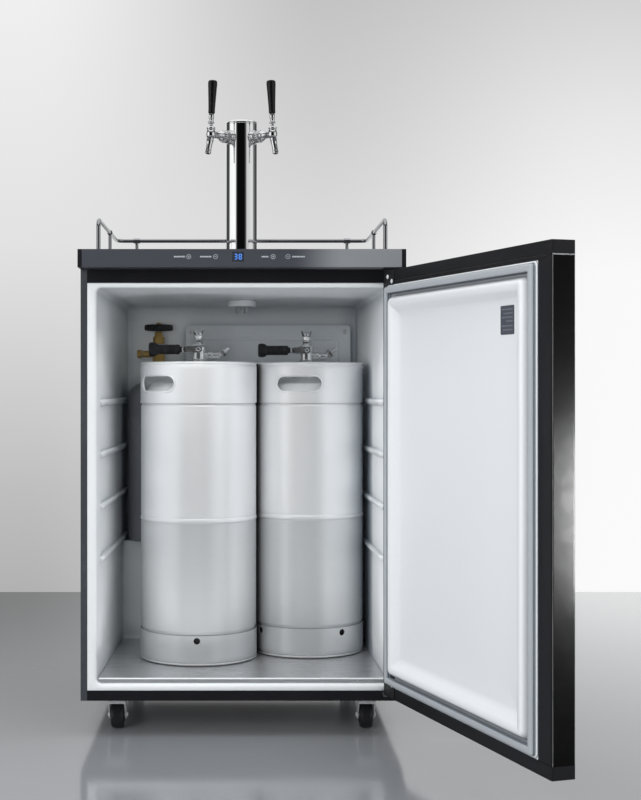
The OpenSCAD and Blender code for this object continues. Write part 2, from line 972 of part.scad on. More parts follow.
module regulator() {
  z = gas_top + 22;
  x = gas_x + 22;
  color("#c2b280")
    translate([x, gas_y, z]) {
      rotate([0, 90, 0]) cylinder(r = 15, h = 12, $fn = 6);
      rod_x(7, 12, 20);
      translate([38, 0, 0]) rod_y(20, -14, 14);
      for (s = [0, 1])
        translate([38 + s * 38 - 19 * s, 0, 0])
          rod_x(4, 0, s * 20 + 1);
      translate([78, 0, 0]) {
        rod_x(5, -22, 0);
        rod_y(18, -10, 8);
      }
      translate([38, 0, 0]) rod_y(5, -20, -14);
    }
}

module regulator_knob() {
  z = gas_top + 22;
  x = gas_x + 22 + 38;
  color("#151517")
    translate([x, gas_y, z])
      difference() {
        rod_y(13, -34, -14.4);
        rod_y(5 + run_gap, -22, -14);
        for (i = [0 : 7])
          rotate([0, 45 * i, 0])
            translate([14.5, 0, 0]) rod_y(3, -35, -14);
      }
}

// ---------------------------------------------------------------- casters

module caster_plates() {
  color("#b9bcbf")
    for (p = CASTER_AT)
      translate([p[0], p[1], 0]) {
        block([-28, -28, base_z - 3], [28, 28, base_z]);
        rod(race_r, base_z - 6, base_z - 3);
        rod(axle_r + 1, base_z - 12.5, base_z - 6);
        rod(axle_r + 3, base_z - 14, base_z - 11.7);
      }
}

module caster_fork(i) {
  p = CASTER_AT[i];
  inner = wheel_w / 2 + fork_gap;
  crown_z = base_z - 8.5;
  axle_z = wheel_d / 2;
  leg_w = 9;
  color("#c2c5c7")
    translate([p[0], p[1], 0])
      difference() {
        union() {
          rod(race_r, crown_z - 2.5, base_z - 6.3);
          for (s = [0, 1])
            mirror([s, 0, 0])
              translate([inner, 0, 0])
                rotate([90, 0, 90])
                  linear_extrude(fork_t)
                    polygon([[-14, crown_z], [14, crown_z], [caster_trail + leg_w, axle_z],
                      [caster_trail + leg_w * 0.7, axle_z - leg_w * 0.7],
                      [caster_trail, axle_z - leg_w],
                      [caster_trail - leg_w * 0.7, axle_z - leg_w * 0.7],
                      [caster_trail - leg_w, axle_z]]);
          block([-inner - fork_t, -14, crown_z - 2.5], [inner + fork_t, 14, crown_z]);
          translate([0, caster_trail, axle_z]) rod_x(axle_r, -inner - fork_t - 2, inner + fork_t + 2);
        }
        rod(axle_r + 1 + run_gap, 30, base_z);
        rod(axle_r + 3 + fit_gap, 30, base_z - 11.4);
      }
}

module caster_wheel(i) {
  p = CASTER_AT[i];
  r = wheel_d / 2;
  round_r = 5;
  half = wheel_w / 2;
  color("#111213")
    translate([p[0], p[1] + caster_trail, r])
      rotate([0, 90, 0])
        rotate_extrude()
          polygon(concat(
            [[axle_r + run_gap, -half], [r - 8, -half], [r - 7, -half + 1.5]],
            [for (a = [-90 : 30 : 0]) [r - round_r + round_r * cos(a), -half + round_r + round_r * sin(a)]],
            [for (a = [0 : 30 : 90]) [r - round_r + round_r * cos(a), half - round_r + round_r * sin(a)]],
            [[r - 7, half - 1.5], [r - 8, half], [axle_r + run_gap, half]]));
}

// ---------------------------------------------------------------- door

module hinge_brackets() {
  color("#141416")
    for (z = [door_low - bracket_t - 3, door_high + 3])
      difference() {
        union() {
          block([half_w - 40, front_y + 2, z], [half_w, face_y, z + bracket_t]);
          translate([pin_x, pin_y, 0])
            rod(pin_r, z < cab_h / 2 ? z : door_high - pin_l, z < cab_h / 2 ? door_low + pin_l : z + 2);
        }
      }
}

// Turns its children from the closed door to where the door stands open
module in_door() {
  translate([pin_x, pin_y, 0])
    rotate([0, 0, door_open])
      translate([-pin_x, -pin_y, 0])
        children();
}

module door_shell() {
  color("#0b0b0c")
    in_door()
      linear_extrude_at(door_low + cap_h, door_high - cap_h)
        difference() {
          soft_rect([-half_w, front_y], [half_w, door_in], 3);
          translate([-half_w + sheet_t, front_y + sheet_t])
            square([cab_w - 2 * sheet_t, door_t - 2 * sheet_t]);
          translate([-half_w + door_lip, door_in - 2 * sheet_t])
            square([cab_w - 2 * door_lip, 4 * sheet_t]);
        }
}

module door_end_caps() {
  color("#0f0f11")
    in_door()
      difference() {
        union() {
          soft_block([-half_w, front_y, door_high - cap_h], [half_w, door_in, door_high], 3);
          soft_block([-half_w, front_y, door_low], [half_w, door_in, door_low + cap_h], 3);
        }
        translate([pin_x, pin_y, 0]) {
          rod(pin_r + run_gap, door_low - 1, door_low + pin_l + 1);
          rod(pin_r + run_gap, door_high - pin_l - 1, door_high + 1);
        }
      }
}

module door_foam() {
  color("#e8d9a8")
    in_door()
      block([-half_w + door_lip, front_y + sheet_t, door_low + cap_h],
            [half_w - door_lip, door_in - 2 * sheet_t, door_high - cap_h]);
}

module door_liner() {
  ring = 34;
  inset = seal_w + 6;
  x1 = -half_w + seal_free + inset;
  x2 = half_w - seal_hinge - inset;
  z1 = door_low + seal_band + inset;
  z2 = door_high - seal_band - inset;
  color("#f1f3f5")
    in_door() {
      block([-half_w + door_lip, door_in - 2 * sheet_t, door_low + cap_h],
            [half_w - door_lip, door_in, door_high - cap_h]);
      upright_ring(x1, x2, z1, z2, ring, 24, door_in - 0.1, door_in + dyke_h);
    }
}

module door_gasket() {
  color("#eef0f2")
    in_door()
      upright_ring(-half_w + seal_free, half_w - seal_hinge, door_low + seal_band,
                   door_high - seal_band, seal_w, 4, door_in, face_y - seal_gap);
}

// ---------------------------------------------------------------- every piece

side_panels();
rear_panel();
base_pan();
inner_liner();
cabinet_foam();
front_rails();
control_fascia();
fascia_end_caps();
display_window();
control_board();
worktop();
guard_rail();
rail_posts();
tower_column();
tower_cap();
tower_flange();
beer_tubes();
tap_shanks();
faucet_bodies();
hose_grommet();
evaporator_plate();
floor_tray();
compressor();
rear_cover();
keg_left();
keg_right();
keg_valves();
coupler_bodies();
gas_cylinder();
gas_valve();
regulator();
hinge_brackets();
caster_plates();
drip_tray();
drip_grille();
door_shell();
door_liner();
door_gasket();
door_end_caps();
door_foam();
tap_handle(-1);  // tap_handle_left
tap_handle(1);  // tap_handle_right
tap_lever(-1);  // tap_lever_left
tap_lever(1);  // tap_lever_right
faucet_shaft(-1);  // faucet_shaft_left
faucet_shaft(1);  // faucet_shaft_right
caster_fork(0);  // caster_fork_front_left
caster_fork(1);  // caster_fork_front_right
caster_fork(2);  // caster_fork_rear_left
caster_fork(3);  // caster_fork_rear_right
caster_wheel(0);  // caster_wheel_front_left
caster_wheel(1);  // caster_wheel_front_right
caster_wheel(2);  // caster_wheel_rear_left
caster_wheel(3);  // caster_wheel_rear_right
coupler_grip(0);  // coupler_grip_left
coupler_grip(1);  // coupler_grip_right
coupler_probe(0);  // coupler_probe_left
coupler_probe(1);  // coupler_probe_right
cylinder_handwheel();
regulator_knob();
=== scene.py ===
"""Two-tap draught beer cabinet: every visible piece, its finish, the studio and the camera,
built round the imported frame. Sizes in the shape functions are millimetres."""

import json
import math

import bmesh
import bpy
import numpy as np
from mathutils import Matrix, Vector


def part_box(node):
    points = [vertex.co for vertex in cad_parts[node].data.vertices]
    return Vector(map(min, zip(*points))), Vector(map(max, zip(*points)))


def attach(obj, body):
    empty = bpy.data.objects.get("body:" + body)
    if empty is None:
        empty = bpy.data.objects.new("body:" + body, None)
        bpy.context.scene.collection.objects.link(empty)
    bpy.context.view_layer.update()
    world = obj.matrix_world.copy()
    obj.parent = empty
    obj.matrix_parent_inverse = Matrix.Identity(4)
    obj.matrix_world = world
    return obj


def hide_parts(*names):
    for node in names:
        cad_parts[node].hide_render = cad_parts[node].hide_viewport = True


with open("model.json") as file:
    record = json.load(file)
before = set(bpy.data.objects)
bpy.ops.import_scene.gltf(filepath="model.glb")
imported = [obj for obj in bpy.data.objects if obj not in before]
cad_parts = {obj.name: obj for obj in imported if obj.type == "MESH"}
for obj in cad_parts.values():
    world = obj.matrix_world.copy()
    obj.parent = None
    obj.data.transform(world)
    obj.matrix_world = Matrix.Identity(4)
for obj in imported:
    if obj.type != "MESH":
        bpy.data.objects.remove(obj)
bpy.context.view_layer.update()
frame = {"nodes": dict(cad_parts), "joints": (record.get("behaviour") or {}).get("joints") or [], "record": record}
NODES = frame["nodes"]
MM = 0.001
SIDES = {"left": -1, "right": 1}
CORNERS = ("front_left", "front_right", "rear_left", "rear_right")


# ------------------------------------------------------------------ camera

def set_camera():
    """A long lens straight in front of the cabinet at the height of the kegs' tops."""
    data = bpy.data.cameras.new("camera")
    data.lens = 63.63
    data.sensor_width = 36.0
    data.shift_x = 0.0983
    data.shift_y = -0.0175
    camera = bpy.data.objects.new("camera", data)
    camera.location = (0.0, -2.896, 0.651)
    camera.rotation_euler = (math.pi / 2, 0.0, 0.0)
    bpy.context.scene.collection.objects.link(camera)
    bpy.context.scene.camera = camera


set_camera()


# ------------------------------------------------------------------ places

def box_mm(node):
    """Lowest and highest corner of a CAD node, in millimetres."""
    lo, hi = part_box(node)
    return np.array(lo) / MM, np.array(hi) / MM


def joint(name):
    """A joint of the frame by name."""
    return next(j for j in frame["joints"] if j["name"] == name)


def joint_at(name):
    """A point on a joint's axis, in millimetres."""
    return np.array(joint(name)["pos_m"]) / MM


TOP = box_mm("worktop")[1][2]
DECK = box_mm("worktop")[0][2]
FACE = box_mm("side_panels")[0][1]
FASCIA = box_mm("control_fascia")[0][1]
KEG_BOX = {side: box_mm("keg_" + side) for side in SIDES}
KEG_TURN = {"left": -45.0, "right": -10.0}
GRIP_Z = joint_at("coupler_left_lift")[2]
PIN = joint_at("door_swing")
PIN_REACH = box_mm("side_panels")[1][0]
DOOR_TOP = box_mm("door_shell")[1][2]
DOOR_INNER = -277.0  # the closed door's inner face
KEG_BEAD = 282.0     # middle bead above the keg's foot
OPEN = -math.radians(joint("door_swing")["range_deg"][0])
TOWER = (box_mm("tower_column")[0] + box_mm("tower_column")[1]) / 2
TOWER[2] = 0.0
TOWER_TOP = box_mm("tower_cap")[1][2]


# ------------------------------------------------------------------ shapes

def unit(v):
    """Vectors of length one in the same directions."""
    v = np.asarray(v, float)
    return v / np.maximum(np.linalg.norm(v, axis=-1, keepdims=True), 1e-12)


def rounded(points, radius, steps=5, closed=False):
    """Polyline whose corners become parabola arcs from `radius` before to `radius` after each."""
    p = np.asarray(points, float)
    r = np.broadcast_to(np.asarray(radius, float), (len(p),)).copy()
    if not closed:
        r[[0, -1]] = 0.0
    back, on = np.roll(p, 1, 0) - p, np.roll(p, -1, 0) - p
    cut = np.minimum(r, 0.49 * np.minimum(np.linalg.norm(back, axis=1), np.linalg.norm(on, axis=1)))
    a, b = p + unit(back) * cut[:, None], p + unit(on) * cut[:, None]
    t = np.linspace(0, 1, steps + 1)[None, :, None]
    arc = (1 - t) ** 2 * a[:, None] + 2 * t * (1 - t) * p[:, None] + t**2 * b[:, None]
    keep = np.ones((len(p), steps + 1), bool)
    keep[cut == 0, 1:] = False
    return arc[keep]


def circle(r, steps=24):
    """Points at equal angles round a circle."""
    t = np.linspace(0, 2 * np.pi, steps, endpoint=False)
    return np.stack([r * np.cos(t), r * np.sin(t)], -1)


def round_rect(x0, z0, x1, z1, r, steps=6):
    """Rectangle outline, anticlockwise, with quarter circles of radius r at its corners."""
    a = np.linspace(0, np.pi / 2, steps + 1)
    centres = [(x1 - r, z0 + r, -1), (x1 - r, z1 - r, 0), (x0 + r, z1 - r, 1), (x0 + r, z0 + r, 2)]
    return np.concatenate([
        np.stack([cx + r * np.cos(a + k * np.pi / 2), cz + r * np.sin(a + k * np.pi / 2)], -1)
        for cx, cz, k in centres])


def inset(outline, d):
    """Anticlockwise outline moved inwards by d, square to its edges."""
    before, after = unit(outline - np.roll(outline, 1, 0)), unit(np.roll(outline, -1, 0) - outline)
    along = unit(before + after)
    inward = np.stack([-along[:, 1], along[:, 0]], -1)
    return outline + inward * d / np.maximum((along * before).sum(-1), 0.6)[:, None]


def woven(rows, around=False, along=False):
    """Quads between neighbouring rows of points; the last column or row may join the first."""
    rows = np.asarray(rows, float)
    n, m = rows.shape[:2]
    i = np.arange(n if along else n - 1)[:, None]
    j = np.arange(m if around else m - 1)[None, :]
    k, q = (i + 1) % n, (j + 1) % m
    faces = np.stack([i * m + j, i * m + q, k * m + q, k * m + j], -1)
    return rows.reshape(-1, 3), faces.reshape(-1, 4).tolist()


def capped(rows):
    """Closed tube of rows: each end runs in to its own middle point."""
    rows = np.asarray(rows, float)
    first, last = (np.broadcast_to(rows[k].mean(0), rows[k].shape)[None] for k in (0, -1))
    return woven(np.concatenate([first, rows, last]), around=True)


def turned(profile, centre=(0, 0, 0), axis=(0, 0, 1), steps=48, ring=False, waves=None):
    """Points (radius, height) turned round the axis; waves(angle) scales the radius; ends close on the axis."""
    p = np.asarray(profile, float)
    if not ring:
        p = np.concatenate([[[0, p[0, 1]]], p, [[0, p[-1, 1]]]])
    w = unit(axis)
    u = unit(np.cross(w, (0, 1, 0) if abs(w[1]) < 0.9 else (1, 0, 0)))
    v = np.cross(w, u)
    t = np.linspace(0, 2 * np.pi, steps, endpoint=False)
    spin = np.cos(t)[:, None] * u + np.sin(t)[:, None] * v
    size = waves(t) if waves else np.ones(steps)
    rows = (np.asarray(centre, float) + p[:, None, None, 1] * w
            + p[:, None, None, 0] * size[None, :, None] * spin[None])
    return woven(rows, around=True, along=ring)


def swept(path, section, sizes=None):
    """Closed section (sideways, upwards) carried along the path and scaled by `sizes`, ends closed."""
    path, section = np.asarray(path, float), np.asarray(section, float)
    ahead = unit(np.gradient(path, axis=0))
    side = unit(np.cross(ahead, (0, 0, 1)))
    rise = np.cross(side, ahead)
    s = (np.ones(len(path)) if sizes is None else np.asarray(sizes))[:, None, None]
    return capped(path[:,
                       None] + s * (section[None, :, :1] * side[:, None] + section[None, :, 1:] * rise[:,
                                                                                                       None]))


def lathe(profile, radius, *place, **how):
    """A profile with rounded corners, turned round an axis."""
    return turned(rounded(profile, radius), *place, **how)


def slab(outline, lo, hi, along="z", edge=0.6):
    """Outline pushed from lo to hi along an axis, with both rims chamfered by `edge`."""
    order = {"z": (0, 1, 2), "y": (0, 2, 1), "x": (1, 2, 0)}[along]
    outline = np.asarray(outline, float)
    rows = np.zeros((4, len(outline), 3))
    for row, (d, h) in zip(rows, ((edge, lo), (0, lo + edge), (0, hi - edge), (edge, hi))):
        row[:, order[:2]] = inset(outline, d)
        row[:, order[2]] = h
    return capped(rows)


def moved(parts, matrix):
    """The same parts turned and shifted by a 4 x 4 matrix."""
    m = np.array(matrix)
    return [(v @ m[:3, :3].T + m[:3, 3], f) for v, f in parts]


def turn_about(point, angle, axis="Z"):
    """Turn by an angle about an axis through a point."""
    return (Matrix.Translation(point) @ Matrix.Rotation(angle, 4, axis)
            @ Matrix.Translation([-c for c in point]))


SWING = turn_about(PIN, OPEN)


def make_mesh(name, parts):
    """One mesh of all the parts, doubles merged and faces turned outwards."""
    verts = np.concatenate([v for v, _ in parts]) * MM
    faces, start = [], 0
    for v, f in parts:
        faces += [[start + i for i in face] for face in f]
        start += len(v)
    mesh = bpy.data.meshes.new(name)
    mesh.from_pydata(verts.tolist(), [], faces)
    work = bmesh.new()
    work.from_mesh(mesh)
    bmesh.ops.remove_doubles(work, verts=work.verts, dist=2e-6)
    bmesh.ops.recalc_face_normals(work, faces=work.faces)
    work.to_mesh(mesh)
    work.free()
    return mesh


def smooth(mesh, angle=34.0):
    """Smooth shading, but sharp where faces meet at more than the angle."""
    mesh.shade_smooth()
    mesh.set_sharp_from_angle(angle=math.radians(angle))


def piece(name, parts, body, slot, finish, replaces=(), angle=34.0):
    """A finished piece: mesh, finish, the body it rides on and the CAD nodes it stands for."""
    mesh = make_mesh(name, parts)
    smooth(mesh, angle)
    obj = bpy.data.objects.new(name, mesh)
    bpy.context.scene.collection.objects.link(obj)
    mesh.materials.append(finish)
    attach(obj, body)
    if replaces:
        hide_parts(*replaces)
    return obj


def cut_away(obj, cutters):
    """Takes the cutters' shapes out of a piece and drops the cutters."""
    for k, parts in enumerate(cutters):
        tool = bpy.data.objects.new(f"cutter_{k}", make_mesh(f"cutter_{k}", parts))
        bpy.context.scene.collection.objects.link(tool)
        step = obj.modifiers.new("cut", "BOOLEAN")
        step.operation, step.solver, step.object = "DIFFERENCE", "EXACT", tool
        bpy.context.view_layer.update()
        mesh = bpy.data.meshes.new_from_object(obj.evaluated_get(bpy.context.evaluated_depsgraph_get()))
        obj.modifiers.clear()
        obj.data = mesh
        bpy.data.objects.remove(tool)
    smooth(obj.data)


# ------------------------------------------------------------------ finishes

def plug(tree, value, socket):
    """Links a socket, or sets its own number or colour."""
    if isinstance(value, bpy.types.NodeSocket):
        tree.links.new(value, socket)
    else:
        socket.default_value = value


def math_node(tree, operation, a, b=None):
    """Result of one sum on sockets or numbers."""
    node = tree.nodes.new("ShaderNodeMath")
    node.operation = operation
    for socket, value in zip(node.inputs, (a, b)):
        if value is not None:
            plug(tree, value, socket)
    return node.outputs[0]


def map_range(tree, value, low, high, to_low=0.0, to_high=1.0):
    """Smooth step from to_low to to_high as the value goes from low to high."""
    node = tree.nodes.new("ShaderNodeMapRange")
    node.interpolation_type = "SMOOTHSTEP"
    tree.links.new(value, node.inputs["Value"])
    for label, number in (("From Min", low), ("From Max", high), ("To Min", to_low), ("To Max", to_high)):
        node.inputs[label].default_value = number
    return node.outputs["Result"]


def mix_colors(tree, factor, a, b):
    """Colour that runs from a to b as the factor goes from 0 to 1."""
    node = tree.nodes.new("ShaderNodeMix")
    node.data_type = "RGBA"
    first, second = [s for s in node.inputs if s.type == "RGBA"]
    for value, socket in ((factor, node.inputs["Factor"]), (a, first), (b, second)):
        plug(tree, value, socket)
    return next(s for s in node.outputs if s.type == "RGBA")


def separate(tree, vector):
    """The outputs X, Y and Z of a vector."""
    node = tree.nodes.new("ShaderNodeSeparateXYZ")
    tree.links.new(vector, node.inputs[0])
    return node.outputs


def noise(tree, vector, scale, detail=2.0, warp=0.0):
    """Noise value over a vector."""
    node = tree.nodes.new("ShaderNodeTexNoise")
    tree.links.new(vector, node.inputs["Vector"])
    plug(tree, scale, node.inputs["Scale"])
    node.inputs["Detail"].default_value = detail
    node.inputs["Distortion"].default_value = warp
    return node.outputs["Fac"]


def new_group(name, label, value, output):
    """An empty shader node group: its tree, vector, number and output socket."""
    tree = bpy.data.node_groups.new(name, "ShaderNodeTree")
    tree.interface.new_socket(name="Vector", in_out="INPUT", socket_type="NodeSocketVector")
    number = tree.interface.new_socket(name=label, in_out="INPUT", socket_type="NodeSocketFloat")
    number.default_value = value
    tree.interface.new_socket(name=output, in_out="OUTPUT", socket_type="NodeSocketFloat")
    source, sink = tree.nodes.new("NodeGroupInput"), tree.nodes.new("NodeGroupOutput")
    return tree, source.outputs["Vector"], source.outputs[label], sink.inputs[output]


def brushed_group():
    """Fine lines: noise stretched along one axis, four tenths coarse and six tenths fine."""
    tree, place, fineness, mask = new_group("brushed_lines", "Fineness", 900.0, "Mask")
    coarse = noise(tree, place, math_node(tree, "MULTIPLY", fineness, 0.25), 2.0)
    fine = noise(tree, place, fineness, 3.0)
    total = math_node(tree, "ADD", math_node(tree, "MULTIPLY", coarse, 0.4),
                      math_node(tree, "MULTIPLY", fine, 0.6))
    tree.links.new(map_range(tree, total, 0.32, 0.68), mask)
    return tree


def marks_group():
    """Handling marks: broad soft clouds with a few sharper smears inside them."""
    tree, place, size, mask = new_group("handling_marks", "Size", 8.0, "Mask")
    cloud = noise(tree, place, size, 3.0, 0.3)
    smear = noise(tree, place, math_node(tree, "MULTIPLY", size, 4.5), 4.0, 1.8)
    both = math_node(tree, "MULTIPLY", map_range(tree, cloud, 0.38, 0.66),
                     map_range(tree, smear, 0.42, 0.72, 0.35, 1.0))
    tree.links.new(both, mask)
    return tree


def grain_group():
    """Moulded or sprayed skin: small cells softened by noise, as a height."""
    tree, place, fineness, height = new_group("skin_grain", "Fineness", 1200.0, "Height")
    cells = tree.nodes.new("ShaderNodeTexVoronoi")
    cells.feature = "SMOOTH_F1"
    tree.links.new(place, cells.inputs["Vector"])
    tree.links.new(fineness, cells.inputs["Scale"])
    fuzz = noise(tree, place, math_node(tree, "MULTIPLY", fineness, 0.6))
    total = math_node(tree, "ADD", math_node(tree, "MULTIPLY", cells.outputs["Distance"], 0.5),
                      math_node(tree, "MULTIPLY", fuzz, 0.5))
    tree.links.new(total, height)
    return tree


def dust_group():
    """Settled dust: a thin patchy film on faces that look upwards."""
    tree, place, amount, mask = new_group("settled_dust", "Amount", 0.2, "Mask")
    upwards = separate(tree, tree.nodes.new("ShaderNodeNewGeometry").outputs["Normal"])["Z"]
    film = math_node(tree, "MULTIPLY", map_range(tree, upwards, 0.5, 0.95),
                     map_range(tree, noise(tree, place, 45.0, 6.0), 0.35, 0.75, 0.3, 1.0))
    tree.links.new(math_node(tree, "MULTIPLY", film, amount), mask)
    return tree


GROUPS = {"brushed": brushed_group(), "marks": marks_group(), "grain": grain_group(), "dust": dust_group()}


class Finish:
    """A material being made: its tree, its shader and short ways to add what it needs."""

    def __init__(self, name, color, roughness, **values):
        self.material = bpy.data.materials.new(name)
        self.material.use_nodes = True
        self.tree = self.material.node_tree
        self.shader = self.tree.nodes["Principled BSDF"]
        self.color, self.roughness = tuple(color), roughness
        self.set("Base Color", (*color, 1.0))
        self.set("Roughness", roughness)
        for label, value in values.items():
            self.set(label.replace("_", " "), value)
        self.place = self.tree.nodes.new("ShaderNodeTexCoord").outputs["Object"]

    def set(self, label, value):
        self.shader.inputs[label].default_value = value

    def group(self, kind, stretch=(1, 1, 1), **values):
        """Output of a shared group, fed with stretched object coordinates."""
        mapping = self.tree.nodes.new("ShaderNodeMapping")
        mapping.inputs["Scale"].default_value = stretch
        self.tree.links.new(self.place, mapping.inputs["Vector"])
        node = self.tree.nodes.new("ShaderNodeGroup")
        node.node_tree = GROUPS[kind]
        self.tree.links.new(mapping.outputs["Vector"], node.inputs["Vector"])
        for label, value in values.items():
            node.inputs[label].default_value = value
        return node.outputs[0]

    def at(self, axis):
        """Object coordinate along X, Y or Z."""
        return separate(self.tree, self.place)[axis]

    def paint_crevice_shade(self, reach, other, shut=0.25, free=0.95):
        """Painted shade: darkens inner corners and grooves within `reach` metres of another surface."""
        hidden = self.tree.nodes.new("ShaderNodeAmbientOcclusion")
        hidden.samples = 6
        hidden.inputs["Distance"].default_value = reach
        return self.tint(map_range(self.tree, hidden.outputs["AO"], shut, free, 1.0, 0.0), other)

    def tint(self, mask, other):
        """Base colour runs to `other` where the mask is 1; calls add up."""
        base = self.shader.inputs["Base Color"]
        start = base.links[0].from_socket if base.is_linked else (*self.color, 1.0)
        self.tree.links.new(mix_colors(self.tree, mask, start, (*other, 1.0)), base)
        return self

    def dull(self, mask, spread):
        """Roughness rises by `spread` where the mask is 1; calls add up."""
        rough = self.shader.inputs["Roughness"]
        start = rough.links[0].from_socket if rough.is_linked else self.roughness
        total = math_node(self.tree, "ADD", math_node(self.tree, "MULTIPLY", mask, spread), start)
        self.tree.links.new(total, rough)
        return self

    def relief(self, height, depth):
        """Bump of a depth in millimetres from a height; calls chain."""
        bump = self.tree.nodes.new("ShaderNodeBump")
        bump.inputs["Strength"].default_value = 1.0
        bump.inputs["Distance"].default_value = depth * MM
        self.tree.links.new(height, bump.inputs["Height"])
        normal = self.shader.inputs["Normal"]
        if normal.is_linked:
            self.tree.links.new(normal.links[0].from_socket, bump.inputs["Normal"])
        self.tree.links.new(bump.outputs["Normal"], normal)
        return self

    def grain(self, fineness, depth):
        """Bump of the skin's own grain."""
        return self.relief(self.group("grain", Fineness=fineness), depth)

    def handled(self, size, spread):
        """Handling marks in the gloss."""
        return self.dull(self.group("marks", Size=size), spread)


def shade(color, k):
    """A colour made lighter or darker by a factor, no channel above 1."""
    return tuple(min(1.0, c * k) for c in color)


def paint(name, color, roughness, dusty=0.0, peel=0.02, clouds=1.35):
    """Baked enamel: faint orange peel, soft handling marks, a little dust on top."""
    f = Finish(name, color, roughness).grain(420.0, peel)
    marks = f.group("marks", Size=6.0)
    f.tint(marks, shade(color, clouds)).dull(marks, 0.07)
    if dusty:
        dust = f.group("dust", Amount=dusty)
        f.tint(dust, (0.42, 0.41, 0.39)).dull(dust, 0.5)
    return f.material


def moulded(name, color, roughness, fineness=900.0, depth=0.03, clouds=1.25, corners=0.0, **values):
    """Moulded plastic or rubber: fine skin grain and a slight cloudiness in colour and gloss; with `corners`,
    painted shade in inner corners and grooves within that reach.
    """
    f = Finish(name, color, roughness, **values).grain(fineness, depth)
    marks = f.group("marks", Size=9.0)
    f.tint(marks, shade(color, clouds)).dull(marks, 0.06)
    if corners:
        # painted shade in corners and grooves, not a colour of the plastic
        f.paint_crevice_shade(corners, tuple(c * k for c, k in zip(color, (0.36, 0.40, 0.44))))
    return f.material


def brushed(name, color, roughness, stretch, fineness=500.0, depth=0.006, metal=1.0):
    """Brushed or spun metal: long fine scratches in height, gloss and tone, plus handling marks."""
    f = Finish(name, color, roughness, Metallic=metal)
    lines = f.group("brushed", stretch, Fineness=fineness)
    f.tint(lines, shade(color, 0.82)).dull(lines, 0.12).relief(lines, depth)
    return f.handled(7.0, 0.08).material


def keg_finish():
    """Blasted and spun stainless steel with faint spin lines; below the middle bead a painted shade makes it
    greyer, and painted shade darkens its crevices.
    """
    f = Finish("spun_keg_steel", (0.90, 0.91, 0.92), 0.34, Metallic=0.64)
    bead = (KEG_BOX["left"][0][2] + KEG_BEAD) * MM
    # Painted shade: the drum is greyer below the middle bead.
    f.tint(map_range(f.tree, f.at("Z"), bead - 0.004, bead + 0.001, 1.0, 0.0), (0.68, 0.695, 0.705))
    lines = f.group("brushed", (0.10, 0.10, 1), Fineness=240.0)
    f.dull(lines, 0.10).relief(lines, 0.006).handled(7.0, 0.08)
    return f.paint_crevice_shade(0.014, (0.09, 0.095, 0.10), 0.15, 0.8).material


def chromed(name, color, roughness, marks_size=14.0, haze=0.06, metal=1.0):
    """Chrome plate: mirror metal with a breath of haze, smears and hairline scratches."""
    f = Finish(name, color, roughness, Metallic=metal).handled(marks_size, haze)
    scratches = f.group("brushed", (1, 1, 0.05), Fineness=260.0)
    return f.tint(scratches, shade(color, 0.94)).dull(scratches, 0.015).material


def fascia_finish():
    """Slate satin lacquer with a painted reflection: paler towards the right-hand end."""
    f = Finish("slate_fascia", (0.066, 0.071, 0.086), 0.33, Metallic=0.3)
    # Painted reflection of light from the right: the lacquer turns paler towards the right-hand end.
    f.tint(map_range(f.tree, f.at("X"), 0.09, 0.19), (0.28, 0.295, 0.315))
    return f.grain(1300.0, 0.01).handled(9.0, 0.06).material


def glowing(name, color, strength):
    """Lit print or digits: a slightly uneven glow."""
    f = Finish(name, color, 0.5, Emission_Strength=strength)
    glow = mix_colors(f.tree, f.group("marks", Size=300.0), (*color, 1.0), (*shade(color, 0.75), 1.0))
    f.tree.links.new(glow, f.shader.inputs["Emission Color"])
    return f.material


def door_panel_finish():
    """The liner's white plastic with deeper painted shade in the groove and slopes of the ridge."""
    f = Finish("white_door_panel", (0.78, 0.80, 0.825), 0.34).grain(350.0, 0.02).handled(9.0, 0.06)
    return f.paint_crevice_shade(0.09, (0.20, 0.215, 0.235), 0.35, 0.92).material


def door_gloss_finish():
    """Deep black gloss; the corners of the door's free edge carry a grey line that is a painted highlight, where
    the distance to the outer corner, the inner corner or the top one is under about a millimetre."""
    f = Finish("black_gloss", (0.0008, 0.0008, 0.001), 0.13, Specular_IOR_Level=0.055)
    f.grain(420.0, 0.004).handled(6.0, 0.04)

    def along(direction):
        """Distance in metres from the hinge pin along a direction of the closed door."""
        aim = SWING.to_3x3() @ Vector(direction)
        dot = f.tree.nodes.new("ShaderNodeVectorMath")
        dot.operation = "DOT_PRODUCT"
        f.tree.links.new(f.place, dot.inputs[0])
        dot.inputs[1].default_value = aim
        return math_node(f.tree, "SUBTRACT", dot.outputs["Value"], aim.dot(Vector(PIN)) * MM)

    def gap(distance, corner):
        """How far a distance is from a corner given in millimetres."""
        return math_node(f.tree, "ABSOLUTE", math_node(f.tree, "SUBTRACT", distance, corner * MM))

    across, depth, height = along((-1, 0, 0)), along((0, 1, 0)), along((0, 0, 1))
    free_edge = PIN[0] + PIN_REACH
    edge = map_range(f.tree, across, (free_edge - 0.6) * MM, (free_edge - 0.3) * MM)
    long_corners = math_node(f.tree, "MINIMUM", gap(depth, FASCIA - PIN[1] + 0.9),
                             gap(depth, DOOR_INNER - 0.9 - PIN[1]))
    near = math_node(f.tree, "MINIMUM", long_corners, gap(height, DOOR_TOP - PIN[2] - 0.9))
    # Painted highlight: a grey line along the corners of the free edge.
    line = math_node(f.tree, "MULTIPLY", map_range(f.tree, near, 0.7 * MM, 1.3 * MM, 1.0, 0.0), edge)
    return f.tint(line, (0.26, 0.265, 0.27)).material


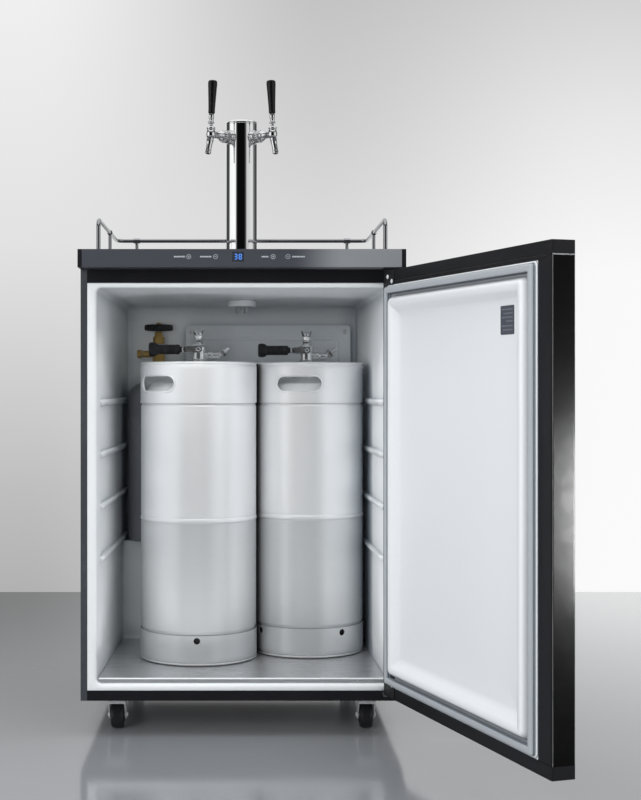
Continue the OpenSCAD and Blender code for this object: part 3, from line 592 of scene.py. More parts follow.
FINISH = {
    "cabinet_paint": paint("charcoal_enamel", (0.040, 0.044, 0.050), 0.34, dusty=0.04),
    "dark_steel": paint("dark_coated_steel", (0.036, 0.037, 0.041), 0.40, peel=0.03),
    # The white liner's last number gives painted shade in its corners and grooves.
    "liner_plastic": moulded("white_liner", (0.76, 0.785, 0.80), 0.30, 350.0, 0.02, 0.97, 0.045),
    "white_enamel": paint("white_enamel", (0.60, 0.64, 0.67), 0.34, clouds=1.04),
    "foam": moulded("insulating_foam", (0.70, 0.60, 0.34), 0.9, 700.0, 0.4, 1.15),
    "black_trim": moulded("black_trim", (0.007, 0.007, 0.009), 0.42, 1100.0, 0.01, 1.5, Specular_IOR_Level=0.3),
    "fascia_face": fascia_finish(),
    "display_lens": moulded("smoked_lens", (0.030, 0.034, 0.045), 0.2, 300.0, 0.002),
    "circuit_board": moulded("circuit_board", (0.012, 0.09, 0.045), 0.4, 500.0, 0.05),
    "rail_chrome": chromed("rail_chrome", (0.40, 0.41, 0.43), 0.12),
    "tower_chrome": chromed("tower_chrome", (0.86, 0.865, 0.87), 0.025, 9.0, 0.03),
    "tap_chrome": chromed("tap_chrome", (0.80, 0.805, 0.815), 0.05),
    "tube_steel": brushed("drawn_tube", (0.60, 0.61, 0.62), 0.24, (1, 1, 0.06)),
    "white_plastic": moulded("white_moulding", (0.80, 0.82, 0.83), 0.38, 800.0, 0.02, 0.97),
    "tray_steel": brushed("brushed_sheet", (0.66, 0.67, 0.69), 0.24, (0.03, 1, 1), 700.0, metal=0.75),
    "compressor_paint": paint("black_enamel", (0.012, 0.012, 0.013), 0.36),
    "keg_steel": keg_finish(),
    "coupler_chrome": chromed("coupler_chrome", (0.86, 0.865, 0.87), 0.15, 30.0, 0.12, 0.93),
    "cylinder_paint": paint("cylinder_paint", (0.24, 0.25, 0.275), 0.42, peel=0.03),
    "valve_brass": brushed("valve_brass", (0.60, 0.40, 0.13), 0.30, (1, 1, 0.1), 600.0, 0.01, metal=0.7),
    "black_steel": paint("black_powder_coat", (0.008, 0.008, 0.009), 0.42, peel=0.05),
    "zinc_plate": brushed("zinc_plate", (0.86, 0.87, 0.88), 0.30, (1, 1, 0.1), 500.0, 0.006, metal=0.45),
    "door_gloss": door_gloss_finish(),
    # The seal is greyer than its own grey-white as painted shade of the band it sits in; its last number adds
    # painted shade in its grooves.
    "gasket_rubber": moulded("grey_seal_with_painted_shade", (0.40, 0.43, 0.46), 0.5, 900.0, 0.02, 0.96, 0.02),
    "handle_black": moulded("black_handle", (0.004, 0.004, 0.005), 0.22, 500.0, 0.002, Specular_IOR_Level=0.35),
    "grip_black": moulded("black_grip", (0.010, 0.010, 0.011), 0.42, 1000.0, 0.05),
    "wheel_black": moulded("black_wheel", (0.010, 0.010, 0.011), 0.4, 900.0, 0.04),
    "caster_black": moulded("black_tread", (0.009, 0.009, 0.010), 0.38, 900.0, 0.05),
}
PRINT = glowing("lit_print", (0.40, 0.43, 0.46), 0.22)
DOOR_PANEL = door_panel_finish()
DIGITS = glowing("blue_digits", (0.07, 0.26, 0.85), 1.0)
LABEL = moulded("grey_label", (0.062, 0.070, 0.092), 0.45, 500.0, 0.01, 1.1)
LABEL_BARS = moulded("label_bars", (0.14, 0.152, 0.175), 0.5, 500.0, 0.01, 1.1)

for node_name, node in NODES.items():
    slot_name = next(s["material_slot"] for s in frame["record"]["subparts"] if s["node"] == node_name)
    node.data.materials.clear()
    node.data.materials.append(FINISH[slot_name])


def add(name, parts, body, slot, replaces=(), **extra):
    """A piece in its slot's own finish."""
    return piece(name, parts, body, slot, FINISH[slot], replaces, **extra)


# ------------------------------------------------------------------ kegs

def keg(side):
    """Drum, two skirts with rolled edges, rolled hand-hole lips and drain holes."""
    lo, hi = KEG_BOX[side]
    node, r, height = "keg_" + side, (hi[0] - lo[0]) / 2, hi[2] - lo[2]
    place = (Matrix.Translation([(lo[0] + hi[0]) / 2, (lo[1] + hi[1]) / 2, lo[2]])
             @ Matrix.Rotation(math.radians(KEG_TURN[side]), 4, "Z"))
    in_metres = Matrix.Translation(place.translation * MM) @ place.to_3x3().to_4x4()
    wall, roll, body_r, top_joint, low_joint = 1.8, 3.3, r - 1.2, height - 82, 60.0
    hole_width, hole_height, hole_drop = 93.0, 32.0, 43.0
    drain_r, drain_z = 6.5, 50.0

    def rolled(start, end, z):
        """Arc round the middle of a rolled edge, from one angle to another in degrees."""
        t = np.linspace(math.radians(start), math.radians(end), 15)
        return np.stack([r - roll + roll * np.cos(t), z + roll * np.sin(t)], -1)

    def upright(radius, z0, z1, steps):
        """Points straight up or down the wall at one radius."""
        return np.stack([np.full(steps, radius), np.linspace(z0, z1, steps)], -1)

    # The dome under the drum is dark coated steel as painted shade: seen through the drain holes, the inside of
    # the foot reads dark.
    dome = [(0.1, 22), (60, 24), (94, 33), (107, 44), (body_r - 2.2, low_joint - 3), (0.1, low_joint - 3)]
    add(node + "_dome", moved([lathe(dome, 4.0, steps=96)], place), "cabinet", "dark_steel", [node])
    drum = [(0.1, low_joint - 4), (100, low_joint - 4), (body_r - 1.6, low_joint - 1.5),
            (body_r - 1.6, low_joint + 3), (body_r, low_joint + 6), (body_r, KEG_BEAD - 8),
            (body_r - 0.8, KEG_BEAD - 5.5), (r - 0.1, KEG_BEAD - 2.5), (r - 0.1, KEG_BEAD + 2.5),
            (body_r - 0.8, KEG_BEAD + 5.5), (body_r, KEG_BEAD + 8), (body_r, top_joint - 6),
            (body_r - 1.6, top_joint - 3), (body_r - 1.6, top_joint + 4), (112, top_joint + 20),
            (94, height - 42), (58, height - 32), (27, height - 30), (26, height - 26), (0.1, height - 26)]
    add(node + "_drum", moved([lathe(drum, 4.0, steps=128)], place), "cabinet", "keg_steel", [node])

    top = np.concatenate([[(r - wall, top_joint), (r, top_joint)], upright(r, top_joint + 4, height - 8, 9),
                          rolled(-50, 235, height - roll), upright(r - wall, height - 8, top_joint + 4, 9)])
    skirt = add(node + "_top_skirt", [turned(top, steps=128, ring=True)], "cabinet", "keg_steel", [node])
    half, rise, drop = hole_width / 2, hole_height / 2, height - hole_drop
    slot_outline = round_rect(-half, drop - rise, half, drop + rise, 15.9, 10)
    cut_away(skirt, [moved([slab(slot_outline, -r - 8, -r + 24, "y", 0.01)],
                           Matrix.Rotation(turn, 4, "Z")) for turn in (0.0, math.pi)])
    skirt.data.transform(in_metres)

    x = slot_outline[:, 0]
    on_wall = np.stack([x, -np.sqrt((r - 0.4) ** 2 - x**2), slot_outline[:, 1]], -1)
    out = np.stack([x, on_wall[:, 1], np.zeros(len(x))], -1) / r
    inner = np.cross(out, unit(np.roll(on_wall, -1, 0) - np.roll(on_wall, 1, 0)))
    lip = circle(2.3, 12)
    rows = on_wall[:, None] + lip[None, :, :1] * out[:, None] + lip[None, :, 1:] * inner[:, None]
    lips = [woven(rows, around=True, along=True)]
    add(node + "_grip_lips", moved(lips + moved(lips, Matrix.Rotation(math.pi, 4, "Z")), place),
        "cabinet", "keg_steel", [node])

    low = np.concatenate([[(r - wall, low_joint)], upright(r - wall, low_joint - 4, 8, 7),
                          rolled(125, 410, roll), upright(r, 8, low_joint - 4, 7), [(r, low_joint)]])
    foot = add(node + "_low_skirt", [turned(low, steps=128, ring=True)], "cabinet", "keg_steel", [node])
    cut_away(foot, [[turned([(drain_r, r - 20), (drain_r, r + 6)], (0, 0, drain_z),
                            (math.sin(a), math.cos(a), 0), 24)] for a in np.radians([45, 135, 225, 315])])
    foot.data.transform(in_metres)


for side_name in SIDES:
    keg(side_name)


# ------------------------------------------------------------------ cabinet inside

def inner_liner():
    """One formed sheet: floor, hump, back and ceiling as a profile swept sideways with filleted
    edges, side walls closing it, and the mouth rolled out to a flange."""
    half_face, half_back, back, floor, hump_y, hump_z, roof = 270.0, 256.0, 271.0, 97.0, 168.0, 317.0, 834.0
    fillet, flare = 9.0, 6.0
    path = rounded([(FACE + flare, floor), (hump_y, floor), (hump_y, hump_z), (back, hump_z),
                    (back, roof - 6), (FACE + flare, roof)], [0, 22, 5, 24, 30, 0], 8)
    ahead = unit(np.gradient(path, axis=0))
    normal = np.stack([-ahead[:, 1], ahead[:, 0]], -1)
    normal[[0, -1]] = (0, 1), (0, -1)

    def half_width(y):
        return half_face - (half_face - half_back) * (y - FACE) / (back - FACE)

    phi = np.linspace(0, np.pi / 2, 7)
    offsets = np.concatenate([phi[::-1], phi])
    sign = np.concatenate([-np.ones(7), np.ones(7)])
    spot = path[:, None] + normal[:, None] * (fillet * (1 - np.cos(offsets)))[None, :, None]
    x = sign * (half_width(spot[..., 0]) - fillet * (1 - np.sin(offsets)))
    rows = np.stack([x, spot[..., 0], spot[..., 1]], -1)
    strip = woven(rows)
    walls = [(rows[:, k], [list(range(len(rows)))[::1 if k else -1]]) for k in (0, -1)]

    def mouth(half, low, high, r, y):
        """Loop round the doorway: bottom edge left to right, then the top edge back."""
        xs = sign * (half - r * (1 - np.sin(offsets)))
        rise = r * (1 - np.cos(offsets))
        bottom = np.stack([xs, np.full(14, y), low + rise], -1)
        top = np.stack([xs, np.full(14, y), high - rise], -1)
        return np.concatenate([bottom, top[::-1]])

    loops = [np.concatenate([rows[0], rows[-1][::-1]])]
    for a in np.linspace(0.2, math.pi / 2, 5):
        e = flare * (1 - math.cos(a))
        loops.append(mouth(half_face + e, floor - e, roof + e, fillet + e,
                           FACE + flare * (1 - math.sin(a))))
    loops.append(mouth(287, 85, 842, 2, FACE))
    loops.append(mouth(288, 84, 843, 2, FACE + 1))
    loops.append(mouth(288, 84, 843, 2, FACE + 3))
    obj = add("formed_liner", [strip, *walls, woven(np.array(loops), around=True)], "cabinet",
              "liner_plastic", ["inner_liner"], angle=50.0)
    back_face = max(obj.data.polygons, key=lambda p: p.center.y)
    if back_face.normal.y > 0:
        obj.data.flip_normals()
    wall = obj.modifiers.new("wall", "SOLIDIFY")
    wall.thickness, wall.offset = 2.0 * MM, -1.0

    ledges = []
    y = np.linspace(FACE + 44, back - 12, 40)
    ease = np.clip(np.minimum(y - y[0], y[-1] - y) / 14, 0, 1) ** 0.5 * 0.98 + 0.02
    section = rounded([(-3, -11), (3, -9), (8, -3), (8, 1), (5, 3), (-3, 4)], 2.5, 4, closed=True)
    for s in SIDES.values():
        for z in floor + 230 + 98.5 * np.arange(4):
            line = np.stack([s * half_width(y), y, np.full(40, z)], -1)
            ledges.append(swept(line, section * (-s, 1), sizes=ease))
    add("shelf_ledges", ledges, "cabinet", "liner_plastic", ["inner_liner"], angle=50.0)


def evaporator_fittings():
    """Screw heads with washers and a shallow pressed frame on the cold plate."""
    lo, hi = box_mm("evaporator_plate")
    y = lo[1]
    parts = []
    for x in (lo[0] + 14, hi[0] - 14):
        for z in (lo[2] + 14, hi[2] - 14):
            parts.append(turned([(7, 0), (7, 1), (5.4, 1.2), (5.2, 2.2), (3.8, 3.4), (1.6, 3.8),
                                 (1.4, 3.2)], (x, y + 0.2, z), (0, -1, 0), 24))
    add("plate_screws", parts, "cabinet", "zinc_plate")
    frame_rows = [np.insert(inset(round_rect(lo[0] + 26, lo[2] + 26, hi[0] - 26, hi[2] - 26, 12), d), 1,
                            y + h, axis=1) for d,
                  h in ((0, 0.4), (0.8, -1.2), (2.4, -1.9), (5.6, -1.9), (7.2, -1.2), (8, 0.4))]
    add("plate_frame", [woven(np.array(frame_rows), around=True, along=True)], "cabinet", "white_enamel")


def tray_edge():
    """Pale rolled strip along the front edge of the floor tray."""
    lo, hi = box_mm("floor_tray")
    line = np.stack([np.linspace(lo[0] + 1, hi[0] - 1, 40), np.full(40, lo[1] + 0.6),
                     np.full(40, hi[2] - 0.2)], -1)
    add("tray_edge_strip", [swept(line, circle(1.5, 12))], "cabinet", "white_plastic")


inner_liner()
evaporator_fittings()
tray_edge()


# ------------------------------------------------------------------ door

def door_piece(name, parts, slot, replaces=(), finish=None, **extra):
    """A piece drawn on the closed door and swung to where the door stands."""
    return piece(name, moved(parts, SWING), "door", slot, finish or FINISH[slot], replaces, **extra)


def ring_rows(levels):
    """Rows (rectangle, corner radius, inset, depth) of a lofted panel that faces the cabinet."""
    rows = []
    for (x0, z0, x1, z1), r, d, y in levels:
        loop = round_rect(x0 + d, z0 + d, x1 - d, z1 - d, max(r - d, 2.0), 8)
        rows.append(np.insert(loop, 1, y, axis=1))
    return np.array(rows)


def door_inside():
    """Formed inner panel with a raised ridge, the hollow seal round it and the dark steel return."""
    inner = DOOR_INNER
    plate, dyke = (-262, 106, 282, 834), (-241, 128, 260, 814)
    levels = [(plate, 3, 0, inner - 2.4), (plate, 3, 0, inner), (dyke, 16, -1.5, inner),
              (dyke, 16, 0, inner + 0.6), (dyke, 16, 1.0, inner + 2.5), (dyke, 16, 5.0, inner + 9),
              (dyke, 16, 7.4, inner + 12.2), (dyke, 16, 9.6, inner + 13.4), (dyke, 16, 12, inner + 13.6),
              (dyke, 16, 18, inner + 13), (dyke, 16, 22, inner + 10.6), (dyke, 16, 30, inner + 4),
              (dyke, 16, 34, inner + 1.8), (dyke, 16, 40, inner + 1.0), (dyke, 16, 90, inner + 1.0)]
    door_piece("door_inner_panel", [capped(ring_rows(levels))], "liner_plastic", ["door_liner"], DOOR_PANEL,
               angle=60.0)
    seal = rounded([(0.6, 0.1), (0, 2), (1.6, 3.4), (0.4, 4.8), (0, 7), (1.2, 9.6), (3.2, 10.4),
                    (9.0, 10.4), (11.0, 9.6), (12, 7), (11.6, 4.8), (10.4, 3.4), (12, 2), (11.4, 0.1)], 0.7,
                   3, closed=True)
    outer = (-258, 112, 277, 830)
    rows = ring_rows([(outer, 5, a, inner + h) for a, h in seal])
    door_piece("door_seal", [woven(rows, around=True, along=True)], "gasket_rubber", ["door_gasket"],
               angle=60.0)
    bead = rounded([(-3.4, 0.1), (-3.6, 1.6), (-2.4, 2.6), (-0.6, 2.6), (0.2, 1.6), (0, 0.1)], 0.6, 3,
                   closed=True)
    rows = ring_rows([(outer, 5, a, inner + h) for a, h in bead])
    door_piece("door_seal_bead", [woven(rows, around=True, along=True)], "liner_plastic", angle=60.0)
    cap_lo, cap_hi = box_mm("door_end_caps")
    half, cap = PIN_REACH - 1.4, 20.5
    rim = (-half, cap_lo[2] + cap, half, cap_hi[2] - cap)
    hole = (-262.2, 105.8, 282.2, 834.2)
    loops = ring_rows([(rim, 2, 0, inner - 1), (rim, 2, 0, inner + 0.3), (rim, 2, 0.5, inner + 0.8),
                       (hole, 3, -0.5, inner + 0.8), (hole, 3, 0, inner + 0.3), (hole, 3, 0, inner - 1)])
    door_piece("door_steel_return", [woven(loops, around=True, along=True)], "black_trim", angle=40.0)


def door_fittings():
    """Black hinge leaves with screws, and a plain grey rating plate with blank bars."""
    inner, parts, screws = DOOR_INNER, [], []
    for z0, z1 in ((88, 144), (830, 859)):
        parts.append(slab(round_rect(250, z0, 285, z1, 4), inner - 0.2, inner + 2, "y", 0.6))
        for x in (258, 276):
            screws.append(turned([(4.2, 0), (4.2, 0.5), (3.2, 1.4), (1.4, 1.7), (1.2, 1.1)],
                                 (x, inner + 1.9, (z0 + z1) / 2 + (x - 267) * 0.5), (0, 1, 0), 20))
    door_piece("hinge_leaves", parts, "black_steel")
    door_piece("hinge_leaf_screws", screws, "zinc_plate")
    field = inner + 1.0
    door_piece("rating_plate", [slab(round_rect(-192, 729, -150, 773, 2), field - 0.2, field + 0.7, "y",
                                     0.3)], "liner_plastic", finish=LABEL)
    bars = [slab(round_rect(-188, z, -188 + w, z + 2.2, 0.6, 2), field + 0.6, field + 0.95, "y", 0.1)
            for z, w in ((766, 34), (760, 28), (754, 34), (748, 20), (741, 34), (735, 30))]
    door_piece("rating_plate_bars", bars, "liner_plastic", finish=LABEL_BARS)


door_inside()
door_fittings()


# ------------------------------------------------------------------ tower and taps

def tower():
    """Polished column with a domed cap, and a stepped flange held by four domed screws."""
    x, y, _ = TOWER
    base, tip = (x, y, TOP), TOWER_TOP - TOP
    seam = TOWER_TOP - 9 - TOP
    tube = [(33.6, 5.8), (35, 5.8), (35, seam), (33.6, seam)]
    add("tower_tube", [lathe(tube, 0.4, base, steps=160)], "cabinet", "tower_chrome", ["tower_column"])
    dome = [(33.8, seam - 0.4), (35.1, seam + 0.4), (35.1, seam + 3.2), (32.5, seam + 7.2), (26, seam + 8.9),
            (12, tip - 0.1), (0.1, tip)]
    add("tower_dome", [lathe(dome, 2.4, base, steps=128)], "cabinet", "tower_chrome", ["tower_cap"])
    screw = [(5.6, 3.9), (5.6, 5), (4.8, 6.2), (3, 7), (1.9, 7.2), (1.8, 5.6), (0.1, 5.6)]
    screws = [lathe(screw, 0.5, (x + 44 * math.cos(a), y + 44 * math.sin(a), TOP), steps=24)
              for a in np.radians([45, 135, 225, 315])]
    foot = [(51, 0.1), (52, 0.8), (52, 3), (50.5, 4.2), (40, 4.6), (38.4, 6.2), (36, 6.6), (35.1, 6.6)]
    add("tower_foot", [lathe(foot, 1.2, base, steps=128)] + screws, "cabinet", "tower_chrome",
        ["tower_flange"])


def tap(name, s):
    """Collar, grooved coupling nut, faucet body with bonnet and leaning spout, lever and handle."""
    a = math.radians(45.0)
    out = np.array([s * math.sin(a), -math.cos(a), 0.0])
    across = np.array([math.cos(a), s * math.sin(a), 0.0])
    pivot = joint_at(f"tap_{name}_pull")
    reach = np.linalg.norm(pivot[:2] - TOWER[:2])
    level = pivot[2] - 12.0
    axis_at = np.array([TOWER[0], TOWER[1], level])
    collar = lathe([(12, 30), (15, 33.5), (15, 36.5), (14, 38), (14, 40.5), (13, 43.2), (9, 43.4)], 0.8,
                   axis_at, out, 48)

    def grooves(t):
        return 1 - 0.045 * np.clip(np.cos(16 * t) - 0.55, 0, 1) / 0.45

    nut = lathe([(9, 43.2), (12.2, 43.3), (13.6, 45), (13.6, 55.6), (12.2, 57.6), (9, 57.8)], 0.9, axis_at,
                out, 128, waves=grooves)
    add(f"tap_{name}_collar", [collar, nut], "cabinet", "tap_chrome", ["tap_shanks"])
    body = lathe([(9, 57.6), (11, 58), (11, 63), (9.4, 66), (8.2, 69), (7.8, 76), (8.4, 81), (8.4, 84)],
                 1.6, axis_at, out, 48)
    belly = lathe([(3, -11), (7.4, -9.6), (9.8, -5), (10.1, 0), (9.6, 4), (8.4, 7), (8.2, 9.4), (9.2, 10.4),
                   (9.2, 13.2), (8, 14.2), (7.3, 14.2), (7.2, 9)], 1.4, axis_at + out * reach, steps=48)
    lean = math.radians(12.0)
    down = out * math.sin(lean) - np.array([0, 0, math.cos(lean)])
    spout = lathe([(6.9, 4), (6.9, 18), (6.2, 22), (5.9, 34), (6.4, 39), (6.4, 41.8), (5.6, 42.4),
                   (4.4, 42.4), (4.3, 36)], 1.0, axis_at + out * reach, down, 40)
    ribs = turned([(7.0, 12), (7.7, 12.8), (7.7, 14.4), (7.0, 15.2)], axis_at + out * reach, down, 40)
    add(f"tap_{name}_faucet", [body, belly, spout, ribs], "cabinet", "tap_chrome", ["faucet_bodies"])

    tilt = math.radians(3.0)
    up = np.array([0, 0, math.cos(tilt)]) - out * math.sin(tilt)
    ball = np.linspace(-1.35, 1.1, 12)
    sphere = np.stack([6.5 * np.cos(ball), 6.5 * np.sin(ball)], -1)
    rod = turned(np.concatenate([sphere,
                                 rounded([(3.6, 6.2), (3.4, 8.6), (6.0, 9), (6.8, 10.8), (6.4, 13.4),
                                          (5.2, 14.6), (5.0, 19), (5.8, 20.4), (5.8, 26), (5.2, 30.2),
                                          (2, 30.4)], 0.7)]), pivot, up, 40)
    cross_pin = turned([(2.1, -6.8), (2.1, 6.8)], pivot, across, 20)
    add(f"tap_{name}_lever", [rod, cross_pin], f"tap_{name}", "tap_chrome", [f"tap_lever_{name}"])
    handle = lathe([(4.6, 30.2), (6.3, 30.6), (7.1, 33), (6.9, 37), (7.1, 44), (8.1, 64), (9.2, 84),
                    (9.7, 92), (9.6, 96), (8.5, 98.6), (5.5, 99.4), (0.1, 99.4)], 1.5, pivot, up, 56)
    add(f"tap_{name}_handle", [handle], f"tap_{name}", "handle_black", [f"tap_handle_{name}"])


tower()
for side_name, side_sign in SIDES.items():
    tap(side_name, side_sign)


# ------------------------------------------------------------------ couplers and gas

def barb(centre, direction, length):
    """Hose tail with three rings, pointing outwards."""
    ring = [(4.4, 0), (4.4, 1)]
    for k in range(3):
        z = 2 + k * (length - 3) / 3
        ring += [(3.6, z), (4.9, z + 0.6), (3.8, z + (length - 3) / 3 - 0.4)]
    return turned(ring + [(3.2, length), (2.4, length)], centre, direction, 28)


def coupler(name):
    """Body with lugs, side arm and angled nut; a grip on a chrome yoke; a probe with its outlet."""
    lo, hi = KEG_BOX[name]
    x, y, top = (lo[0] + hi[0]) / 2, (lo[1] + hi[1]) / 2, hi[2]
    base, arm_z = (x, y, top), top + 14

    def lugs(t):
        return 1 + 0.07 * np.clip(np.cos(3 * t), 0, 1) ** 6

    body = [lathe([(19, -20), (21, -19), (21, -6), (19, -4)], 0.8, base, steps=96, waves=lugs),
            lathe([(17.5, -5), (17.5, 2), (15, 4.5), (13.2, 6), (13, 8), (13, 23), (14.6, 24.4),
                   (14.6, 30.6), (13, 32), (12.4, 36.6), (8, 37)], 0.9, base, steps=56),
            turned([(14.8, 30.2), (15.4, 31), (15.4, 34.4), (14.8, 35.2)], base, steps=6),
            lathe([(7, 8), (7, 17), (8.4, 19), (8.4, 25), (7.2, 27), (6.4, 29), (6.4, 36), (7.2, 40)], 0.8,
                  (x, y, arm_z), (1, 0, 0), 40)]
    bend = (x + 40, y, arm_z)
    tail = (math.cos(math.radians(35)), 0, math.sin(math.radians(35)))
    half = np.linspace(-1.5, 1.5, 10)
    body += [turned(np.stack([7.2 * np.cos(half), 7.2 * np.sin(half)], -1), bend, (0, 0, 1), 32),
             turned([(5.4, 0), (5.4, 8)], bend, tail, 32),
             turned([(8, 6.8), (8.7, 7.6), (8.7, 13.4), (8, 14.2)], bend, tail, 6),
             barb(np.array(bend) + 14 * np.array(tail), tail, 12)]
    add(f"coupler_{name}_body", body, "cabinet", "coupler_chrome", ["coupler_bodies"])

    probe = [lathe([(6, -24), (6, 38), (6, 48), (5.2, 50), (5.2, 55), (6.4, 56), (6.4, 60), (3.4, 64)], 0.6,
                   base, steps=40), turned([(7.5, 37.8), (8, 38.6), (8, 45.2), (7.5, 46)], base, steps=6),
             turned([(7.6, 46.5), (8.6, 47.5), (8.6, 53.5), (7.6, 54.5)], base, steps=8)]
    for s in SIDES.values():
        wing = rounded([(s * 3, 54), (s * 8.4, 54), (s * 12.6, 66), (s * 8.2, 68), (s * 5.6, 60),
                        (s * 3, 59)], 2.0, 4, closed=True)[::s]
        probe.append(slab(wing + (x, top), y - 3.4, y + 3.4, "y", 1.0))
    add(f"coupler_{name}_probe", probe, f"probe_{name}", "coupler_chrome", [f"coupler_probe_{name}"])

    pivot = (x, y, GRIP_Z)
    cheek = rounded([(-31, -6), (-10, -7), (0, -7.5), (7.5, -5), (7.5, 5), (0, 7.5), (-10, 7), (-31, 6)],
                    3.5, 5, closed=True)
    yoke = [slab(cheek + (x, GRIP_Z), y + s * 17.6 - 1.4, y + s * 17.6 + 1.4, "y", 0.5) for s in (-1, 1)]
    yoke.append(slab(round_rect(x - 31, y - 19, x - 25, y + 19, 2), GRIP_Z - 6, GRIP_Z + 6, "z", 1.0))
    yoke += [lathe([(4.6, 0), (4.6, 1.2), (3, 2.4), (0.1, 2.6)], 0.6, (x, y + s * 18.9, GRIP_Z), (0, s, 0),
                   24) for s in (-1, 1)]
    yoke.append(turned([(5.6, 26), (6.2, 27), (6.2, 33), (5.6, 34)], pivot, (-1, 0, 0), 32))
    add(f"coupler_{name}_yoke", yoke, f"grip_{name}", "coupler_chrome", [f"coupler_grip_{name}"])
    ribs = [(10.2 - 0.9 * (k % 2), 44 + 3.2 * k) for k in range(12)]
    grip = lathe([(5.8, 31), (5.8, 37.6), (9.2, 38.6), (10.2, 41)] + ribs + [(10.4, 83), (13, 86),
                                                                             (14.4, 90), (14.5, 96),
                                                                             (13.4, 100), (9, 101),
                                                                             (0.1, 101)], 1.0, pivot,
                 (-1, 0, 0), 56)
    add(f"coupler_{name}_grip", [grip], f"grip_{name}", "grip_black", [f"coupler_grip_{name}"])


def gas_fittings():
    """Cylinder valve with a hexagon and side ports, a scalloped handwheel and a stem nut."""
    lo, hi = box_mm("cylinder_handwheel")
    x, y, hub = (lo[0] + hi[0]) / 2, (lo[1] + hi[1]) / 2, lo[2]
    keg_top = KEG_BOX["left"][1][2]
    port_z, bottle = keg_top + 22, box_mm("gas_valve")[0][2]
    valve = [lathe([(11, 0), (11, 9), (14.5, 10), (14.5, 24), (12.6, 27), (12.6, 44), (13.6, 47),
                    (13.6, 66), (9, 78)], 1.2, (x, y, bottle), steps=48),
             turned([(11.6, 0), (12.6, 1), (12.6, 15), (11.6, 16)], (x, y, keg_top + 44), steps=6),
             lathe([(9.6, 15.5), (8.6, 20), (8.6, 25), (6, 27)], 1.0, (x, y, keg_top + 44), steps=40),
             lathe([(9, 0), (7.2, 12), (7.2, 34), (9, 35)], 0.9, (x, y, port_z), (-1, 0, 0), 36),
             turned([(8.2, 37), (9, 38), (9, 46), (8.2, 47), (5, 47)], (x, y, port_z), (-1, 0, 0), 6),
             lathe([(8, 8), (8, 22)], 0.1, (x, y, bottle + 30), (1, 0, 0), 36)]
    add("cylinder_valve", valve, "cabinet", "valve_brass", ["gas_valve"])

    def scallops(t):
        return 1 - 0.075 * (0.5 - 0.5 * np.cos(12 * t)) ** 2

    rim = rounded([(24, 1), (27, 0), (31, 1.6), (31.5, 6), (31.5, 9), (30.4, 12.6), (27, 14), (24, 13)],
                  1.6, 5, closed=True)
    wheel = [turned(rim, (x, y, hub), steps=144, ring=True, waves=scallops),
             lathe([(25.4, 3), (25.4, 6), (11, 6.4), (9.6, 8), (9.2, 13.6), (7, 14)], 0.8, (x, y, hub),
                   steps=64)]
    spokes = [moved([slab(round_rect(8, -2.6, 26, 2.6, 1.5, 3), hub + 2.6, hub + 9.5, "z", 0.8)],
                    Matrix.Translation((x, y, 0)) @ Matrix.Rotation(k * math.pi / 3, 4,
                                                                    "Z"))[0] for k in range(6)]
    add("handwheel", wheel + spokes, "handwheel", "wheel_black", ["cylinder_handwheel"])
    add("handwheel_nut", [turned([(5.6, 13.6), (6.2, 14.2), (6.2, 17), (5.4, 17.8), (3, 18.4)], (x, y, hub),
                                 steps=6)], "handwheel", "valve_brass")


for side_name in SIDES:
    coupler(side_name)
gas_fittings()


# ------------------------------------------------------------------ casters

def caster(corner):
    """Pressed fork with rounded legs, ball race and axle bolt; a wheel with a soft tread and hub."""
    swivel, roll = joint_at(f"caster_{corner}_swivel"), joint_at(f"caster_{corner}_roll")
    top, x, y = box_mm("caster_plates")[1][2], swivel[0], swivel[1]
    trail, r = roll[1] - y, roll[2]
    width, gauge = 25.0, 2.5
    gap, crown, middle = width / 2 + 1.5, top - 8.5, gauge / 2
    outline = rounded([(-13, crown + 0.4), (-11, crown - 8), (trail - 8.5, r + 2), (trail - 8, r - 5),
                       (trail, r - 9), (trail + 8, r - 5), (trail + 9, r + 2), (13.5, crown - 8),
                       (13.5, crown + 0.4)], [1, 6, 4, 5, 5, 5, 4, 6, 1], 5, closed=True)
    legs = [slab(outline + (y, 0), m - middle, m + middle, "x", 0.6)
            for m in (x - (gap + middle), x + (gap + middle))]
    left, right = x - gap - gauge, x + gap + gauge
    deck = slab(round_rect(left, y - 14, right, y + 14, 4), crown - gauge, crown + 0.2, "z", 0.8)
    race = turned(rounded([(12, -1), (16, -1), (17, 0.6), (17, 1.6), (15.6, 2.2), (12, 2.2)], 0.5,
                          closed=True), (x, y, crown), steps=56, ring=True)
    lip = slab(round_rect(left, crown - 5.5, right, crown, 2), y - 14.6, y - 12.6, "y", 0.6)
    ends = [turned([(3.6, 0), (4.4, 0.5), (4.4, 1.8), (3.4, 2.6), (2, 2.8)],
                   (x + s * (gap + 2.4), roll[1], r), (s, 0, 0), 24) for s in (-1, 1)]
    axle = turned([(2.9, -gap), (2.9, gap)], (x, roll[1], r), (1, 0, 0), 24)
    add(f"caster_{corner}_fork", legs + [deck, lip, race, axle] + ends, f"swivel_{corner}", "zinc_plate",
        [f"caster_fork_{corner}"])
    h = width / 2
    tread = rounded([(r - 7.6, -h + 0.4), (r - 4.5, -h), (r - 1.6, -h + 1.6), (r, -h + 6), (r, h - 6),
                     (r - 1.6, h - 1.6), (r - 4.5, h), (r - 7.6, h - 0.4), (r - 8.4, h - 2.4),
                     (r - 14, h - 2.8), (r - 15, h - 0.4), (3.1, h - 0.2), (3.1, -h + 0.2),
                     (r - 15, -h + 0.4), (r - 14, -h + 2.8), (r - 8.4, -h + 2.4)], 1.2, 4, closed=True)
    add(f"caster_{corner}_wheel", [turned(tread, (x, roll[1], r), (1, 0, 0), 72, ring=True)],
        f"wheel_{corner}", "caster_black", [f"caster_wheel_{corner}"])


for corner_name in CORNERS:
    caster(corner_name)


# ------------------------------------------------------------------ control fascia

